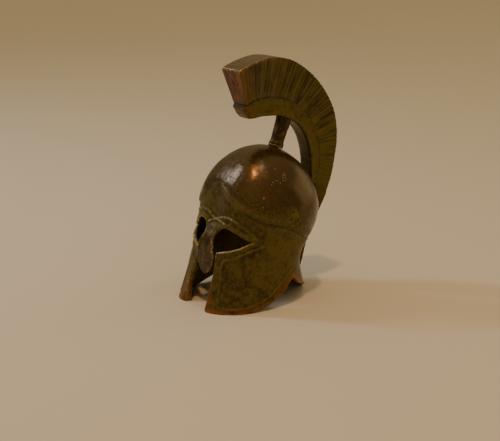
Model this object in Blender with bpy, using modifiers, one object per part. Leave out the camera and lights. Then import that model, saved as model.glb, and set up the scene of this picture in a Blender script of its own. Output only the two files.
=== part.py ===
"""Miniature cast bronze Corinthian helmet with a hair crest on a post.

Metres, +Z up. The helmet faces -Y and stands on the XY plane, with its left side at +X.
The origin is under the middle of its bounding box. Sizes below are in millimetres.
"""

import math

import bmesh
import bpy
from mathutils import Vector

MM = 0.001
COLLECTION = "corinthian_helmet"
CUTTERS = "cutters"
# The tables' zero in Y lies at this Y.
DATUM_Y = -1.41

# The shell is drawn in turns and heights. A turn runs round the helmet, 0 at the front of the
# face, 90 at the helmet's left ear and 180 at the nape, and it is the angle of a superellipse.
WALL = 1.8
CROWN_HALF_WIDTH = 20.0
CROWN_FRONT = -21.0
CROWN_CENTRE = -0.25
CROWN_REAR = 22.9
CROWN_EQUATOR = 33.85
CROWN_TOP = 57.75
CROWN_POLE = -0.2
CROWN_FULLNESS = 1.85
CROWN_SQUARENESS = 3.1
STEP_HEIGHT = 0.25
FACE_CENTRE = -4.3
REAR_SQUARENESS = 2.3

# height, half width, front and squareness of the face and cheek guards below the crown
FACE_ROWS = (
    (0.0, 21.0, -31.9, 2.65),
    (4.0, 20.9, -30.1, 2.65),
    (7.0, 20.9, -28.9, 2.65),
    (11.0, 20.8, -27.3, 2.65),
    (15.0, 20.6, -26.0, 2.65),
    (19.0, 20.3, -24.7, 2.65),
    (23.0, 20.0, -23.6, 2.65),
    (27.0, 19.6, -22.6, 2.65),
    (31.0, 19.3, -21.7, 2.7),
    (35.0, 18.9, -20.7, 2.85),
    (39.0, 18.3, -19.7, 3.0),
    (44.0, 17.2, -18.6, 3.1),
)
# height and rear of the neck guard, which is waisted and flares at its hem
NECK_ROWS = (
    (0.0, 18.0),
    (1.2, 17.2),
    (3.0, 16.0),
    (5.0, 14.9),
    (8.0, 13.7),
    (11.0, 12.8),
    (14.0, 12.4),
    (17.0, 13.1),
    (19.0, 14.3),
    (21.0, 16.5),
    (23.0, 19.0),
    (25.0, 20.2),
    (35.0, 21.0),
    (44.0, 18.6),
)
# turn and height of the keel line where the crown meets the face and the neck
KEEL_LINE = (
    (0.0, 43.7),
    (4.0, 42.2),
    (13.0, 40.7),
    (22.0, 39.3),
    (34.5, 37.8),
    (48.0, 36.2),
    (58.5, 35.0),
    (67.5, 33.8),
    (76.0, 32.8),
    (84.5, 31.8),
    (91.0, 30.6),
    (97.5, 28.9),
    (106.7, 26.4),
    (122.0, 23.1),
    (145.0, 20.8),
    (180.0, 20.0),
)
# turn and height of the lower edge: cheek guard, notch, neck guard
LOWER_EDGE = (
    (0.0, 0.6),
    (16.0, 0.6),
    (24.0, 0.1),
    (30.0, 0.0),
    (58.0, 0.0),
    (66.0, 0.4),
    (76.0, 1.5),
    (84.0, 2.8),
    (88.0, 4.5),
    (91.0, 6.1),
    (96.0, 8.1),
    (101.0, 9.7),
    (106.0, 10.4),
    (112.0, 9.0),
    (118.0, 7.3),
    (126.0, 6.2),
    (140.0, 4.4),
    (150.0, 3.0),
    (160.0, 1.4),
    (168.0, 0.3),
    (172.0, 0.0),
    (180.0, 0.0),
)
# height and offset along Y of the nose line from the face's own front, positive is set back
NOSE_LINE = (
    (0.0, 1.6),
    (11.0, 1.6),
    (15.0, 0.5),
    (19.0, -0.5),
    (23.0, -1.1),
    (26.0, -0.9),
    (29.0, 0.3),
    (32.0, 1.3),
    (34.0, 1.1),
    (38.0, 0.6),
    (43.0, 0.1),
    (46.0, 0.0),
    (60.0, 0.0),
)
NOSE_FLAT = 5.3
NOSE_EDGE = 7.2
BROW_DIP = 4.6
BROW_HEIGHT = 29.0

# half width and height of the face slot: up the cheek guard's edge, then down the nose guard
SLOT_CHEEK = (
    (8.7, -3.0),
    (8.0, 0.6),
    (7.6, 4.5),
    (7.2, 8.0),
    (6.9, 11.4),
    (6.6, 15.0),
    (6.3, 19.2),
    (6.5, 21.3),
    (7.4, 24.0),
)
# the right cheek guard's edge, whose foot spreads further in
SLOT_RIGHT_CHEEK = (
    (6.4, -3.0),
    (5.7, 0.6),
    (6.2, 2.2),
    (6.9, 4.5),
    (7.2, 8.0),
) + SLOT_CHEEK[4:]
SLOT_NOSE = (
    (3.5, 25.4),
    (4.1, 23.2),
    (4.8, 20.5),
    (5.0, 18.2),
    (4.6, 16.2),
    (3.6, 14.6),
    (2.4, 13.3),
    (1.2, 12.4),
    (0.0, 12.0),
)
# turn and height round the left eye opening
EYE_OUTLINE = (
    (6.0, 26.0),
    (6.0, 27.4),
    (9.1, 29.3),
    (14.3, 30.3),
    (21.5, 30.4),
    (32.1, 29.4),
    (43.9, 28.0),
    (53.7, 26.9),
    (61.0, 26.3),
    (51.8, 25.2),
    (41.9, 23.8),
    (31.8, 22.7),
    (20.0, 21.7),
    (12.6, 21.2),
    (9.0, 23.5),
)
# the right eye opening, a little taller and nearer the nose than the left one
RIGHT_EYE_OUTLINE = (
    (4.6, 26.0),
    (4.6, 27.8),
    (7.2, 30.3),
    (12.4, 31.6),
    (20.5, 31.3),
    (32.1, 30.0),
    (43.9, 28.3),
    (53.7, 27.0),
    (61.0, 26.3),
    (51.8, 25.2),
    (41.9, 23.8),
    (31.8, 22.7),
    (20.0, 21.7),
    (11.6, 21.2),
    (7.4, 23.5),
)
# how many points of either outline its upper lid takes
EYE_LID = 9
EYE_TURN = math.radians(32.0)
CUT_DEPTH = 7.0
SLOT_FRONT = -40.0
SLOT_BACK = -14.0

# turn and height along each brow's raised line, which cross over the nose
LEFT_BROW = (
    (-4.5, 30.6),
    (0.0, 32.3),
    (4.6, 33.4),
    (9.5, 34.0),
    (14.6, 34.2),
    (22.8, 34.1),
    (34.7, 32.9),
    (45.9, 31.3),
    (56.4, 29.2),
    (63.3, 27.4),
)
RIGHT_BROW = (
    (15.0, 31.9),
    (7.6, 32.3),
    (0.1, 32.5),
    (-3.0, 33.2),
    (-6.7, 34.5),
    (-14.6, 34.9),
    (-22.8, 34.4),
    (-34.7, 33.1),
    (-45.9, 31.6),
    (-56.4, 29.4),
    (-63.3, 27.5),
)
# turn and height along the raised border of the left cheek guard
CHEEK_BORDER = (
    (72.6, 24.5),
    (62.9, 23.6),
    (55.5, 23.0),
    (43.4, 21.3),
    (33.8, 19.7),
    (23.6, 19.0),
    (21.3, 18.0),
    (22.1, 15.6),
    (24.3, 12.1),
    (25.8, 8.6),
    (27.6, 4.6),
    (29.0, 2.7),
    (33.4, 2.1),
    (44.6, 1.9),
    (54.8, 2.0),
    (64.3, 2.6),
    (71.5, 3.4),
    (78.4, 4.6),
    (83.9, 6.4),
    (88.6, 9.4),
    (94.8, 12.0),
    (101.6, 13.6),
)
BROW_RADIUS = 0.55
BORDER_RADIUS = 0.45
LID_RADIUS = 0.85
RELIEF_SINK = 0.15
LID_SINK = 0.3

# The crest is drawn round a centre on the plane of symmetry, its angle 0 straight up and
# growing towards the nape.
CREST_CENTRE = (1.3, 50.5)
SEAM_RADIUS = 25.5
JOINT_GAP = 0.3
# angle, slant of the section, depth of the holder, depth of the hair, its outer half width
CREST_ROWS = (
    (-24.0, 6.5, 4.3, 13.9, 5.9),
    (-21.5, 6.2, 5.7, 14.0, 5.9),
    (-12.0, 5.0, 6.7, 14.4, 5.9),
    (0.0, 3.0, 7.1, 15.0, 5.9),
    (12.0, 1.0, 6.9, 14.6, 5.9),
    (27.0, 0.0, 6.5, 13.0, 5.9),
    (44.0, 0.0, 5.7, 11.3, 5.9),
    (60.0, 0.0, 5.3, 9.9, 5.9),
    (79.0, 0.0, 5.0, 7.4, 5.9),
    (95.0, 0.0, 4.3, 5.6, 5.9),
    (105.0, 0.0, 3.5, 5.3, 5.9),
    (116.0, 0.0, 1.9, 5.5, 5.7),
)
HOLDER_HALF_WIDTH = 3.7
SEAM_HALF_WIDTH = 3.9
RIB_COUNT = 58
RIB_DEPTH = 0.35
# inner Y, inner height, outer Y, outer height, half width down the hair's tail behind the neck
TAIL_ROWS = (
    (23.2, 35.6, 28.7, 35.0, 5.4),
    (23.2, 32.0, 27.1, 31.4, 5.1),
    (22.6, 28.6, 25.4, 28.2, 4.7),
    (21.0, 24.0, 23.4, 23.8, 4.2),
    (19.0, 19.0, 21.5, 18.8, 3.6),
    (18.2, 14.5, 20.5, 14.2, 3.1),
    (17.9, 10.5, 19.9, 10.2, 2.6),
    (17.9, 7.6, 19.4, 7.2, 2.0),
    (18.2, 5.9, 18.9, 5.7, 1.2),
)

POST_FOOT = (0.0, 7.6)
POST_LEAN = math.radians(20.5)
POST_FOOT_RADIUS = 2.2
POST_TOP_RADIUS = 2.7
POST_LENGTH = 10.8
POST_RING_RADIUS = 2.8
POST_RING_HEIGHT = 0.8
POST_SIDES = 24

SHELL_COLOUR = (0.060, 0.044, 0.020, 1.0)
HOLDER_COLOUR = (0.075, 0.060, 0.024, 1.0)
HAIR_COLOUR = (0.095, 0.066, 0.032, 1.0)
POST_COLOUR = (0.050, 0.040, 0.018, 1.0)


def clear_scene():
    """Remove every object and collection, so that only the model is left."""
    for item in list(bpy.data.objects):
        bpy.data.objects.remove(item, do_unlink=True)
    for group in list(bpy.data.collections):
        bpy.data.collections.remove(group)


def new_collection(name):
    group = bpy.data.collections.new(name)
    bpy.context.scene.collection.children.link(group)
    return group


def make_material(name, colour, roughness, metallic):
    material = bpy.data.materials.new(name)
    material.use_nodes = True
    shader = material.node_tree.nodes["Principled BSDF"]
    shader.inputs["Base Color"].default_value = colour
    shader.inputs["Roughness"].default_value = roughness
    shader.inputs["Metallic"].default_value = metallic
    return material


def curve_through(rows, column):
    """A smooth function through column 0 and another column, with no overshoot between rows."""
    xs = [row[0] for row in rows]
    ys = [row[column] for row in rows]
    steps = [(ys[i + 1] - ys[i]) / (xs[i + 1] - xs[i]) for i in range(len(xs) - 1)]
    slopes = [steps[0]]
    for before, after in zip(steps, steps[1:]):
        slopes.append(0.0 if before * after <= 0 else 2 * before * after / (before + after))
    slopes.append(steps[-1])

    def value(x):
        x = min(max(x, xs[0]), xs[-1])
        i = next((k for k in range(len(xs) - 1) if x <= xs[k + 1]), len(xs) - 2)
        width = xs[i + 1] - xs[i]
        s = (x - xs[i]) / width
        return (
            ys[i] * (1 + 2 * s) * (1 - s) ** 2
            + slopes[i] * width * s * (1 - s) ** 2
            + ys[i + 1] * s * s * (3 - 2 * s)
            + slopes[i + 1] * width * s * s * (s - 1)
        )

    return value


face_half_width = curve_through(FACE_ROWS, 1)
face_front = curve_through(FACE_ROWS, 2)
face_squareness = curve_through(FACE_ROWS, 3)
neck_rear = curve_through(NECK_ROWS, 1)
keel_height = curve_through(KEEL_LINE, 1)
edge_height = curve_through(LOWER_EDGE, 1)
nose_offset = curve_through(NOSE_LINE, 1)


def signed_power(value, power):
    return math.copysign(abs(value) ** power, value)


def smooth_step(low, high, value):
    s = min(max((value - low) / (high - low), 0.0), 1.0)
    return s * s * (3 - 2 * s)


def plan_point(turn, half_width, front, centre, rear, squareness):
    """One point of a plan outline: a superellipse, squarer in front of its centre than behind."""
    angle = math.radians(turn)
    sine = 0.0 if turn in (0, 180) else math.sin(angle)
    cosine = math.cos(angle)
    ahead = cosine > 0
    power = 2 / (squareness if ahead else REAR_SQUARENESS)
    reach = centre - front if ahead else rear - centre
    return half_width * signed_power(sine, power), centre - reach * signed_power(cosine, power)


def nose_weight(x, height):
    """How far the nose line bends the front at this place, 1 on the plane of symmetry."""
    guard = 1 - smooth_step(NOSE_FLAT, NOSE_EDGE, abs(x))
    brow = math.exp(-((x / BROW_DIP) ** 2))
    blend = smooth_step(BROW_HEIGHT - 3.0, BROW_HEIGHT + 3.0, height)
    return guard * (1 - blend) + brow * blend


def crown_point(turn, height, inset):
    top = CROWN_TOP - inset
    rise = abs(height - CROWN_EQUATOR) / (top - CROWN_EQUATOR)
    share = max(0.0, 1 - rise**CROWN_FULLNESS) ** (1 / CROWN_FULLNESS)
    above = height > CROWN_EQUATOR
    centre = CROWN_POLE + (CROWN_CENTRE - CROWN_POLE) * share if above else CROWN_CENTRE
    x, y = plan_point(
        turn,
        (CROWN_HALF_WIDTH - inset) * share,
        centre - (CROWN_CENTRE - CROWN_FRONT - inset) * share,
        centre,
        centre + (CROWN_REAR - CROWN_CENTRE - inset) * share,
        CROWN_SQUARENESS,
    )
    if turn < 90:
        y += nose_offset(height) * nose_weight(x, height)
    return x, y, height


def face_point(turn, height, inset):
    x, y = plan_point(
        turn,
        face_half_width(height) - inset,
        face_front(height) + inset,
        FACE_CENTRE,
        neck_rear(height) - inset,
        face_squareness(height),
    )
    if turn < 90:
        y += nose_offset(height) * nose_weight(x, height)
    return x, y, height


def spread(stations):
    """Values between stations, each station given with the number of steps up to it."""
    values = [stations[0][0]]
    for (low, _), (high, steps) in zip(stations, stations[1:]):
        values += [low + (high - low) * (i + 1) / steps for i in range(steps)]
    return values


TURNS = spread(((0.0, 0), (3.0, 2), (30.0, 6), (58.0, 5), (88.0, 4), (106.0, 4), (162.0, 7), (180.0, 2)))
FACE_LEVELS = spread(((0.0, 0), (1.0, 13)))
CROWN_LEVELS = spread(((0.0, 0), (1.0, 11)))


def skin_rows(inset):
    """Rows of points of one skin of the shell's left half, from the lower edge to the crown."""
    rows = []
    for level in FACE_LEVELS:
        rows.append([])
        for turn in TURNS:
            low, high = edge_height(turn), keel_height(turn)
            rows[-1].append(face_point(turn, low + (high - low) * level, inset))
    reach = CROWN_TOP - inset - CROWN_EQUATOR
    for level in CROWN_LEVELS[:-1]:
        rows.append([])
        for turn in TURNS:
            start = math.asin((keel_height(turn) + STEP_HEIGHT - CROWN_EQUATOR) / reach)
            angle = start + (math.pi / 2 - start) * level
            height = CROWN_EQUATOR + reach * math.sin(angle)
            rows[-1].append(crown_point(turn, height, inset))
    return rows


def add_skin(mesh, inset, outward):
    """Add one skin of the half shell to a bmesh and return its lower row of vertices."""
    rows = [[mesh.verts.new(Vector(p) * MM) for p in row] for row in skin_rows(inset)]
    pole = mesh.verts.new(Vector((0.0, CROWN_POLE, CROWN_TOP - inset)) * MM)
    order = 1 if outward else -1
    for low, high in zip(rows, rows[1:]):
        for i in range(len(TURNS) - 1):
            mesh.faces.new((low[i], low[i + 1], high[i + 1], high[i])[::order])
    for left, right in zip(rows[-1], rows[-1][1:]):
        mesh.faces.new((left, right, pole)[::order])
    return rows[0]


def new_datum(group):
    """An empty that carries every part and cutter, so that the origin is under the middle."""
    datum = bpy.data.objects.new("datum", None)
    datum.location = (0.0, DATUM_Y * MM, 0.0)
    group.objects.link(datum)
    return datum


def add_object(name, mesh, material, group, datum):
    data = bpy.data.meshes.new(name)
    mesh.to_mesh(data)
    mesh.free()
    data.materials.append(material)
    item = bpy.data.objects.new(name, data)
    item.parent = datum
    group.objects.link(item)
    return item


def solid_from(drawn, name, group, datum):
    """Turn a drawn curve into a closed solid that Booleans use and renders leave out."""
    group.objects.link(drawn)
    bpy.context.view_layer.update()
    graph = bpy.context.evaluated_depsgraph_get()
    data = bpy.data.meshes.new_from_object(drawn.evaluated_get(graph))
    mesh = bmesh.new()
    mesh.from_mesh(data)
    bmesh.ops.remove_doubles(mesh, verts=mesh.verts, dist=0.00001)
    bmesh.ops.recalc_face_normals(mesh, faces=mesh.faces)
    mesh.to_mesh(data)
    mesh.free()
    solid = bpy.data.objects.new(name, data)
    solid.matrix_world = drawn.matrix_world
    solid.parent = datum
    bpy.data.objects.remove(drawn, do_unlink=True)
    group.objects.link(solid)
    solid.hide_render = True
    solid.display_type = "WIRE"
    return solid


def relief_bar(name, line, radius, sink, group, datum):
    """A round bar along a line of turns and heights on the face, part sunk in it."""
    curve = bpy.data.curves.new(name, "CURVE")
    curve.dimensions = "3D"
    curve.bevel_depth = radius * MM
    curve.bevel_resolution = 1
    curve.use_fill_caps = True
    spline = curve.splines.new("POLY")
    spline.points.add(len(line) - 1)
    for point, (turn, height) in zip(spline.points, line):
        point.co = (*(Vector(face_point(turn, height, sink)) * MM), 1.0)
    drawn = bpy.data.objects.new(name + "_line", curve)
    return solid_from(drawn, name, group, datum)


def flat_cutter(name, outline, turn, front, back, group, datum):
    """A prism with this outline, whose flat ends face along a level direction."""
    curve = bpy.data.curves.new(name, "CURVE")
    curve.dimensions = "2D"
    curve.fill_mode = "BOTH"
    curve.extrude = (back - front) / 2 * MM
    spline = curve.splines.new("POLY")
    spline.points.add(len(outline) - 1)
    for point, (across, height) in zip(spline.points, outline):
        point.co = (across * MM, height * MM, 0.0, 1.0)
    spline.use_cyclic_u = True
    drawn = bpy.data.objects.new(name + "_outline", curve)
    middle = (front + back) / 2 * MM
    drawn.rotation_euler = (math.pi / 2, 0.0, turn)
    drawn.location = (-middle * math.sin(turn), middle * math.cos(turn), 0.0)
    return solid_from(drawn, name, group, datum)


def slot_outline():
    """The face slot seen from the front: both cheek edges and, between them, the nose guard."""
    left = SLOT_CHEEK + SLOT_NOSE
    right = SLOT_RIGHT_CHEEK + SLOT_NOSE[:-1]
    return left + tuple((-x, z) for x, z in reversed(right))


def eye_outline(rows, side):
    """An eye opening seen along its own axis, for the left (1) or the right (-1) eye."""
    outline = []
    for turn, height in rows:
        x, y, z = face_point(turn, height, 0.0)
        outline.append((side * (x * math.cos(EYE_TURN) + y * math.sin(EYE_TURN)), z))
    return outline


def relief_lines():
    """Name, line, radius and sink of each raised line of the face."""
    lines = [
        ("left_brow", LEFT_BROW, BROW_RADIUS, RELIEF_SINK),
        ("right_brow", RIGHT_BROW, BROW_RADIUS, RELIEF_SINK),
    ]
    for name, side, eye in (("left", 1, EYE_OUTLINE), ("right", -1, RIGHT_EYE_OUTLINE)):
        border = [(side * turn, height) for turn, height in CHEEK_BORDER]
        round_eye = [(side * turn, height) for turn, height in eye]
        lines += [
            (name + "_border", border, BORDER_RADIUS, RELIEF_SINK),
            (name + "_upper_lid", round_eye[:EYE_LID], LID_RADIUS, LID_SINK),
            (name + "_lower_lid", round_eye[EYE_LID - 1 :], LID_RADIUS, LID_SINK),
        ]
    return lines


def combine(item, solid, operation):
    boolean = item.modifiers.new(solid.name, "BOOLEAN")
    boolean.operation = operation
    boolean.solver = "EXACT"
    boolean.object = solid


def build_shell(group, cutters, datum, material):
    """The hollow casting: a half made of two skins and the hem between them, then mirrored."""
    mesh = bmesh.new()
    outer = add_skin(mesh, 0.0, True)
    inner = add_skin(mesh, WALL, False)
    for i in range(len(TURNS) - 1):
        mesh.faces.new((outer[i + 1], outer[i], inner[i], inner[i + 1]))
    shell = add_object("helmet_shell", mesh, material, group, datum)
    mirror = shell.modifiers.new("two_halves", "MIRROR")
    mirror.use_axis = (True, False, False)
    mirror.merge_threshold = 0.00001
    for name, line, radius, sink in relief_lines():
        bar = relief_bar(name, line, radius, sink, cutters, datum)
        combine(shell, bar, "UNION")
    outline = slot_outline()
    slot = flat_cutter("face_slot", outline, 0.0, SLOT_FRONT, SLOT_BACK, cutters, datum)
    combine(shell, slot, "DIFFERENCE")
    reach = -FACE_CENTRE - face_front(EYE_OUTLINE[4][1])
    for name, side, rows in (("left_eye", 1, EYE_OUTLINE), ("right_eye", -1, RIGHT_EYE_OUTLINE)):
        front, back = -reach - CUT_DEPTH, -reach + CUT_DEPTH
        outline = eye_outline(rows, side)
        eye = flat_cutter(name, outline, side * EYE_TURN, front, back, cutters, datum)
        combine(shell, eye, "DIFFERENCE")
    shell.data.shade_smooth()
    shell.data.set_sharp_from_angle(angle=math.radians(35.0))
    return shell


def on_crest(angle, slant, depth, half_width):
    """A point of the crest at a depth outside the seam, measured along the slanted section."""
    here = math.radians(angle)
    along = math.radians(angle + slant)
    y = CREST_CENTRE[0] + SEAM_RADIUS * math.sin(here) + depth * math.sin(along)
    z = CREST_CENTRE[1] + SEAM_RADIUS * math.cos(here) + depth * math.cos(along)
    return half_width, y, z


crest_slant = curve_through(CREST_ROWS, 1)
holder_depth = curve_through(CREST_ROWS, 2)
hair_depth = curve_through(CREST_ROWS, 3)
hair_half_width = curve_through(CREST_ROWS, 4)


def add_loft(mesh, sections):
    """Join rings of points of the same count into a closed solid with flat ends."""
    rings = [[mesh.verts.new(Vector(p) * MM) for p in section] for section in sections]
    count = len(rings[0])
    for one, two in zip(rings, rings[1:]):
        for i in range(count):
            j = (i + 1) % count
            mesh.faces.new((one[i], one[j], two[j], two[i]))
    mesh.faces.new(rings[0][::-1])
    mesh.faces.new(rings[-1])
    bmesh.ops.recalc_face_normals(mesh, faces=mesh.faces)


HOLDER_ANGLES = spread(((CREST_ROWS[0][0], 0), (-21.5, 2), (-12.0, 2), (CREST_ROWS[-1][0], 20)))


def build_holder(group, datum, material):
    """The smooth band that carries the hair, thin where it nears the back of the crown."""
    sections = []
    for angle in HOLDER_ANGLES:
        slant, depth = crest_slant(angle), holder_depth(angle)
        corner = min(0.8, depth / 3)
        half = HOLDER_HALF_WIDTH
        left = [
            on_crest(angle, slant, -JOINT_GAP, half),
            on_crest(angle, slant, -depth + corner, half),
            on_crest(angle, slant, -depth, half - corner),
        ]
        sections.append(left + [(-x, y, z) for x, y, z in reversed(left)])
    mesh = bmesh.new()
    add_loft(mesh, sections)
    return add_object("crest_holder", mesh, material, group, datum)


def hair_section(inner, outer, inner_half, outer_half, groove):
    """Six points across the hair, drawn in at its sides and crown where a groove lies."""
    inner, outer = Vector(inner), Vector(outer)
    along = (outer - inner).normalized()
    outer = outer - along * groove * 0.5
    corner = outer - along * 0.8
    left = [
        (inner_half - groove * 0.5, inner.y, inner.z),
        (outer_half - groove, corner.y, corner.z),
        (outer_half - groove - 0.6, outer.y, outer.z),
    ]
    return left + [(-x, y, z) for x, y, z in reversed(left)]


def build_hair(group, datum, material):
    """The ribbed hair: grooved sections round the arc, then a plain tail down to the nape."""
    first, last = CREST_ROWS[0][0], CREST_ROWS[-1][0]
    sections = []
    for i in range(2 * RIB_COUNT + 1):
        angle = first + (last - first) * i / (2 * RIB_COUNT)
        slant = crest_slant(angle)
        groove = RIB_DEPTH if i % 2 else 0.0
        inner = on_crest(angle, slant, 0.0, 0.0)
        outer = on_crest(angle, slant, hair_depth(angle), 0.0)
        sections.append(
            hair_section(inner, outer, SEAM_HALF_WIDTH, hair_half_width(angle), groove)
        )
    for inner_y, inner_z, outer_y, outer_z, half in TAIL_ROWS:
        inner, outer = (0.0, inner_y, inner_z), (0.0, outer_y, outer_z)
        sections.append(hair_section(inner, outer, half * 0.8, half, 0.0))
    mesh = bmesh.new()
    add_loft(mesh, sections)
    return add_object("crest_plume", mesh, material, group, datum)


def crown_height(y):
    """Height of the crown on the plane of symmetry behind its pole."""
    share = (y - CROWN_POLE) / (CROWN_REAR - CROWN_POLE)
    rise = (1 - share**CROWN_FULLNESS) ** (1 / CROWN_FULLNESS)
    return CROWN_EQUATOR + (CROWN_TOP - CROWN_EQUATOR) * rise


def build_post(group, datum, material):
    """The leaning post, turned with a ring at its foot and set square to the crown."""
    profile = (
        (0.0, POST_LENGTH),
        (POST_TOP_RADIUS, POST_LENGTH),
        (POST_FOOT_RADIUS, POST_RING_HEIGHT * 1.6),
        (POST_RING_RADIUS, POST_RING_HEIGHT),
        (POST_RING_RADIUS, JOINT_GAP),
        (0.0, JOINT_GAP),
    )
    mesh = bmesh.new()
    points = [mesh.verts.new((r * MM, 0.0, h * MM)) for r, h in profile]
    for one, two in zip(points, points[1:]):
        mesh.edges.new((one, two))
    post = add_object("crest_post", mesh, material, group, datum)
    turned = post.modifiers.new("turned", "SCREW")
    turned.steps = turned.render_steps = POST_SIDES
    turned.use_merge_vertices = True
    turned.merge_threshold = 0.00001
    post.location = Vector((POST_FOOT[0], POST_FOOT[1], crown_height(POST_FOOT[1]))) * MM
    post.rotation_euler = (-POST_LEAN, 0.0, 0.0)
    return post


def main():
    clear_scene()
    group = new_collection(COLLECTION)
    cutters = new_collection(CUTTERS)
    datum = new_datum(group)
    shell_bronze = make_material("shell_bronze", SHELL_COLOUR, 0.38, 0.7)
    holder_bronze = make_material("holder_bronze", HOLDER_COLOUR, 0.42, 0.7)
    hair_bronze = make_material("hair_bronze", HAIR_COLOUR, 0.45, 0.7)
    post_bronze = make_material("post_bronze", POST_COLOUR, 0.40, 0.7)
    build_shell(group, cutters, datum, shell_bronze)
    build_holder(group, datum, holder_bronze)
    build_hair(group, datum, hair_bronze)
    build_post(group, datum, post_bronze)


main()
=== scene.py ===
"""Looks of a miniature cast bronze Corinthian helmet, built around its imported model.

Tables are in millimetres with the helmet facing -Y, its own left side at +X and +Z up.
A turn runs round the helmet in degrees, 0 at the front, 90 at the left ear, 180 at the nape.
"""

import logging
import math
from dataclasses import dataclass, fields
from enum import Enum
from typing import Sequence

import bmesh
import bpy
import numpy as np
from mathutils import Matrix, Vector


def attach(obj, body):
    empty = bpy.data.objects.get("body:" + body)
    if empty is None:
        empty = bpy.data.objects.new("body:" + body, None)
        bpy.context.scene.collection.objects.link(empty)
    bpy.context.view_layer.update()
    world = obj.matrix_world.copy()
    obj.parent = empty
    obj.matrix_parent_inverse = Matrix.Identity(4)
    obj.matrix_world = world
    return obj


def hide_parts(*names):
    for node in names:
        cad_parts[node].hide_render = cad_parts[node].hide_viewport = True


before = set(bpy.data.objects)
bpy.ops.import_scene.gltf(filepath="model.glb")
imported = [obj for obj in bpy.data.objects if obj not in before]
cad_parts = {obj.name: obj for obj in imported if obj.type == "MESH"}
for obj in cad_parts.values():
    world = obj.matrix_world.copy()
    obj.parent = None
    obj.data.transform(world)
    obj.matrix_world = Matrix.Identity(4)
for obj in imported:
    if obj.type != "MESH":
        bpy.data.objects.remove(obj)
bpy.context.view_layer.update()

MM = 0.001
# Points nearer than this, in metres, are one point.
WELD = 0.000002
# Stands for a distance in millimetres that nothing reaches.
FAR = 99.0
BODY = "root"
# The tables' zero in Y lies this far in front of the origin, as in the model.
DATUM_MM = np.array([0.0, -1.41, 0.0])

# A direction along which no two points of a piece lie equally far.
SORTING = Vector((1.0, 0.4142, 0.7321))

log = logging.getLogger("helmet")

Row = tuple[float, ...]
Table = Sequence[Row]
Array = np.ndarray
Mesh = bmesh.types.BMesh


class SmoothCurve:
    """A smooth function through the rows of a table, with no overshoot between them."""

    def __init__(self, rows: Table, column: int = 1) -> None:
        """Fit the curve.

        Args:
            rows: table rows whose first column is the position, rising.
            column: the column that holds the value.
        """
        self.x = np.array([row[0] for row in rows], float)
        self.y = np.array([row[column] for row in rows], float)
        steps = np.diff(self.y) / np.diff(self.x)
        product = steps[:-1] * steps[1:]
        total = np.where(product > 0, steps[:-1] + steps[1:], 1.0)
        inner = np.where(product > 0, 2 * product / total, 0.0)
        self.slope = np.concatenate([steps[:1], inner, steps[-1:]])

    def __call__(self, x: Array | float) -> Array:
        """Values of the curve.

        Args:
            x: positions, held at the table's ends.

        Returns:
            One value per position.
        """
        x = np.clip(np.asarray(x, float), self.x[0], self.x[-1])
        i = np.clip(np.searchsorted(self.x, x, side="right") - 1, 0, len(self.x) - 2)
        width = self.x[i + 1] - self.x[i]
        s = (x - self.x[i]) / width
        return (
            self.y[i] * (1 + 2 * s) * (1 - s) ** 2
            + self.slope[i] * width * s * (1 - s) ** 2
            + self.y[i + 1] * s * s * (3 - 2 * s)
            + self.slope[i + 1] * width * s * s * (s - 1)
        )


def smooth_step(low: float, high: float, value: Array | float) -> Array:
    """Ease from 0 at low to 1 at high."""
    s = np.clip((np.asarray(value, float) - low) / (high - low), 0.0, 1.0)
    return s * s * (3 - 2 * s)


def bump(distance: Array, width: float) -> Array:
    """A rounded ridge profile, 1 at its crest and 0 from this distance on."""
    share = np.clip(np.abs(distance) / width, 0.0, 1.0)
    return (1 - share * share) ** 2


def spread(stations: Table) -> Array:
    """Values between stations.

    Args:
        stations: rows of a value and the number of steps up to it.

    Returns:
        All the values, the first and the last station among them.
    """
    values = [stations[0][0]]
    for (low, _), (high, steps) in zip(stations, stations[1:]):
        values += [low + (high - low) * (i + 1) / steps for i in range(int(steps))]
    return np.array(values)


def rounded_path(points: Array, closed: bool, steps: int = 6) -> Array:
    """A smooth path through points, after Catmull and Rom.

    Args:
        points: the points to pass through, one per row.
        closed: whether the path returns to its start.
        steps: pieces between two points.

    Returns:
        The finer path, one point per row.
    """
    count = len(points)
    spans = count if closed else count - 1
    out = []
    for k in range(spans):
        if closed:
            around = [points[(k + j) % count] for j in (-1, 0, 1, 2)]
        else:
            around = [points[min(max(k + j, 0), count - 1)] for j in (-1, 0, 1, 2)]
        before, start, end, after = around
        for t in np.arange(steps) / steps:
            out.append(
                0.5
                * (
                    2 * start
                    + (end - before) * t
                    + (2 * before - 5 * start + 4 * end - after) * t**2
                    + (3 * start - before - 3 * end + after) * t**3
                )
            )
    if not closed:
        out.append(points[-1])
    return np.array(out)


def nearest_on_path(places: Array, path: Array, closed: bool) -> tuple[Array, Array]:
    """Distance from places to a path, and the nearest points on it.

    Args:
        places: places to measure from, one per row.
        path: the path's points, one per row, in as many dimensions.
        closed: whether the last point joins the first.

    Returns:
        The distances, and the nearest points.
    """
    ends = np.roll(path, -1, axis=0) if closed else path[1:]
    starts = path if closed else path[:-1]
    best = np.full(len(places), np.inf)
    foot = np.zeros_like(places)
    for start, end in zip(starts, ends):
        along = end - start
        length = float(along @ along)
        if length < 1e-12:
            continue
        t = np.clip((places - start) @ along / length, 0.0, 1.0)
        near = start + t[:, None] * along
        gap = np.sqrt(((places - near) ** 2).sum(1))
        closer = gap < best
        best[closer] = gap[closer]
        foot[closer] = near[closer]
    return best, foot


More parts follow.
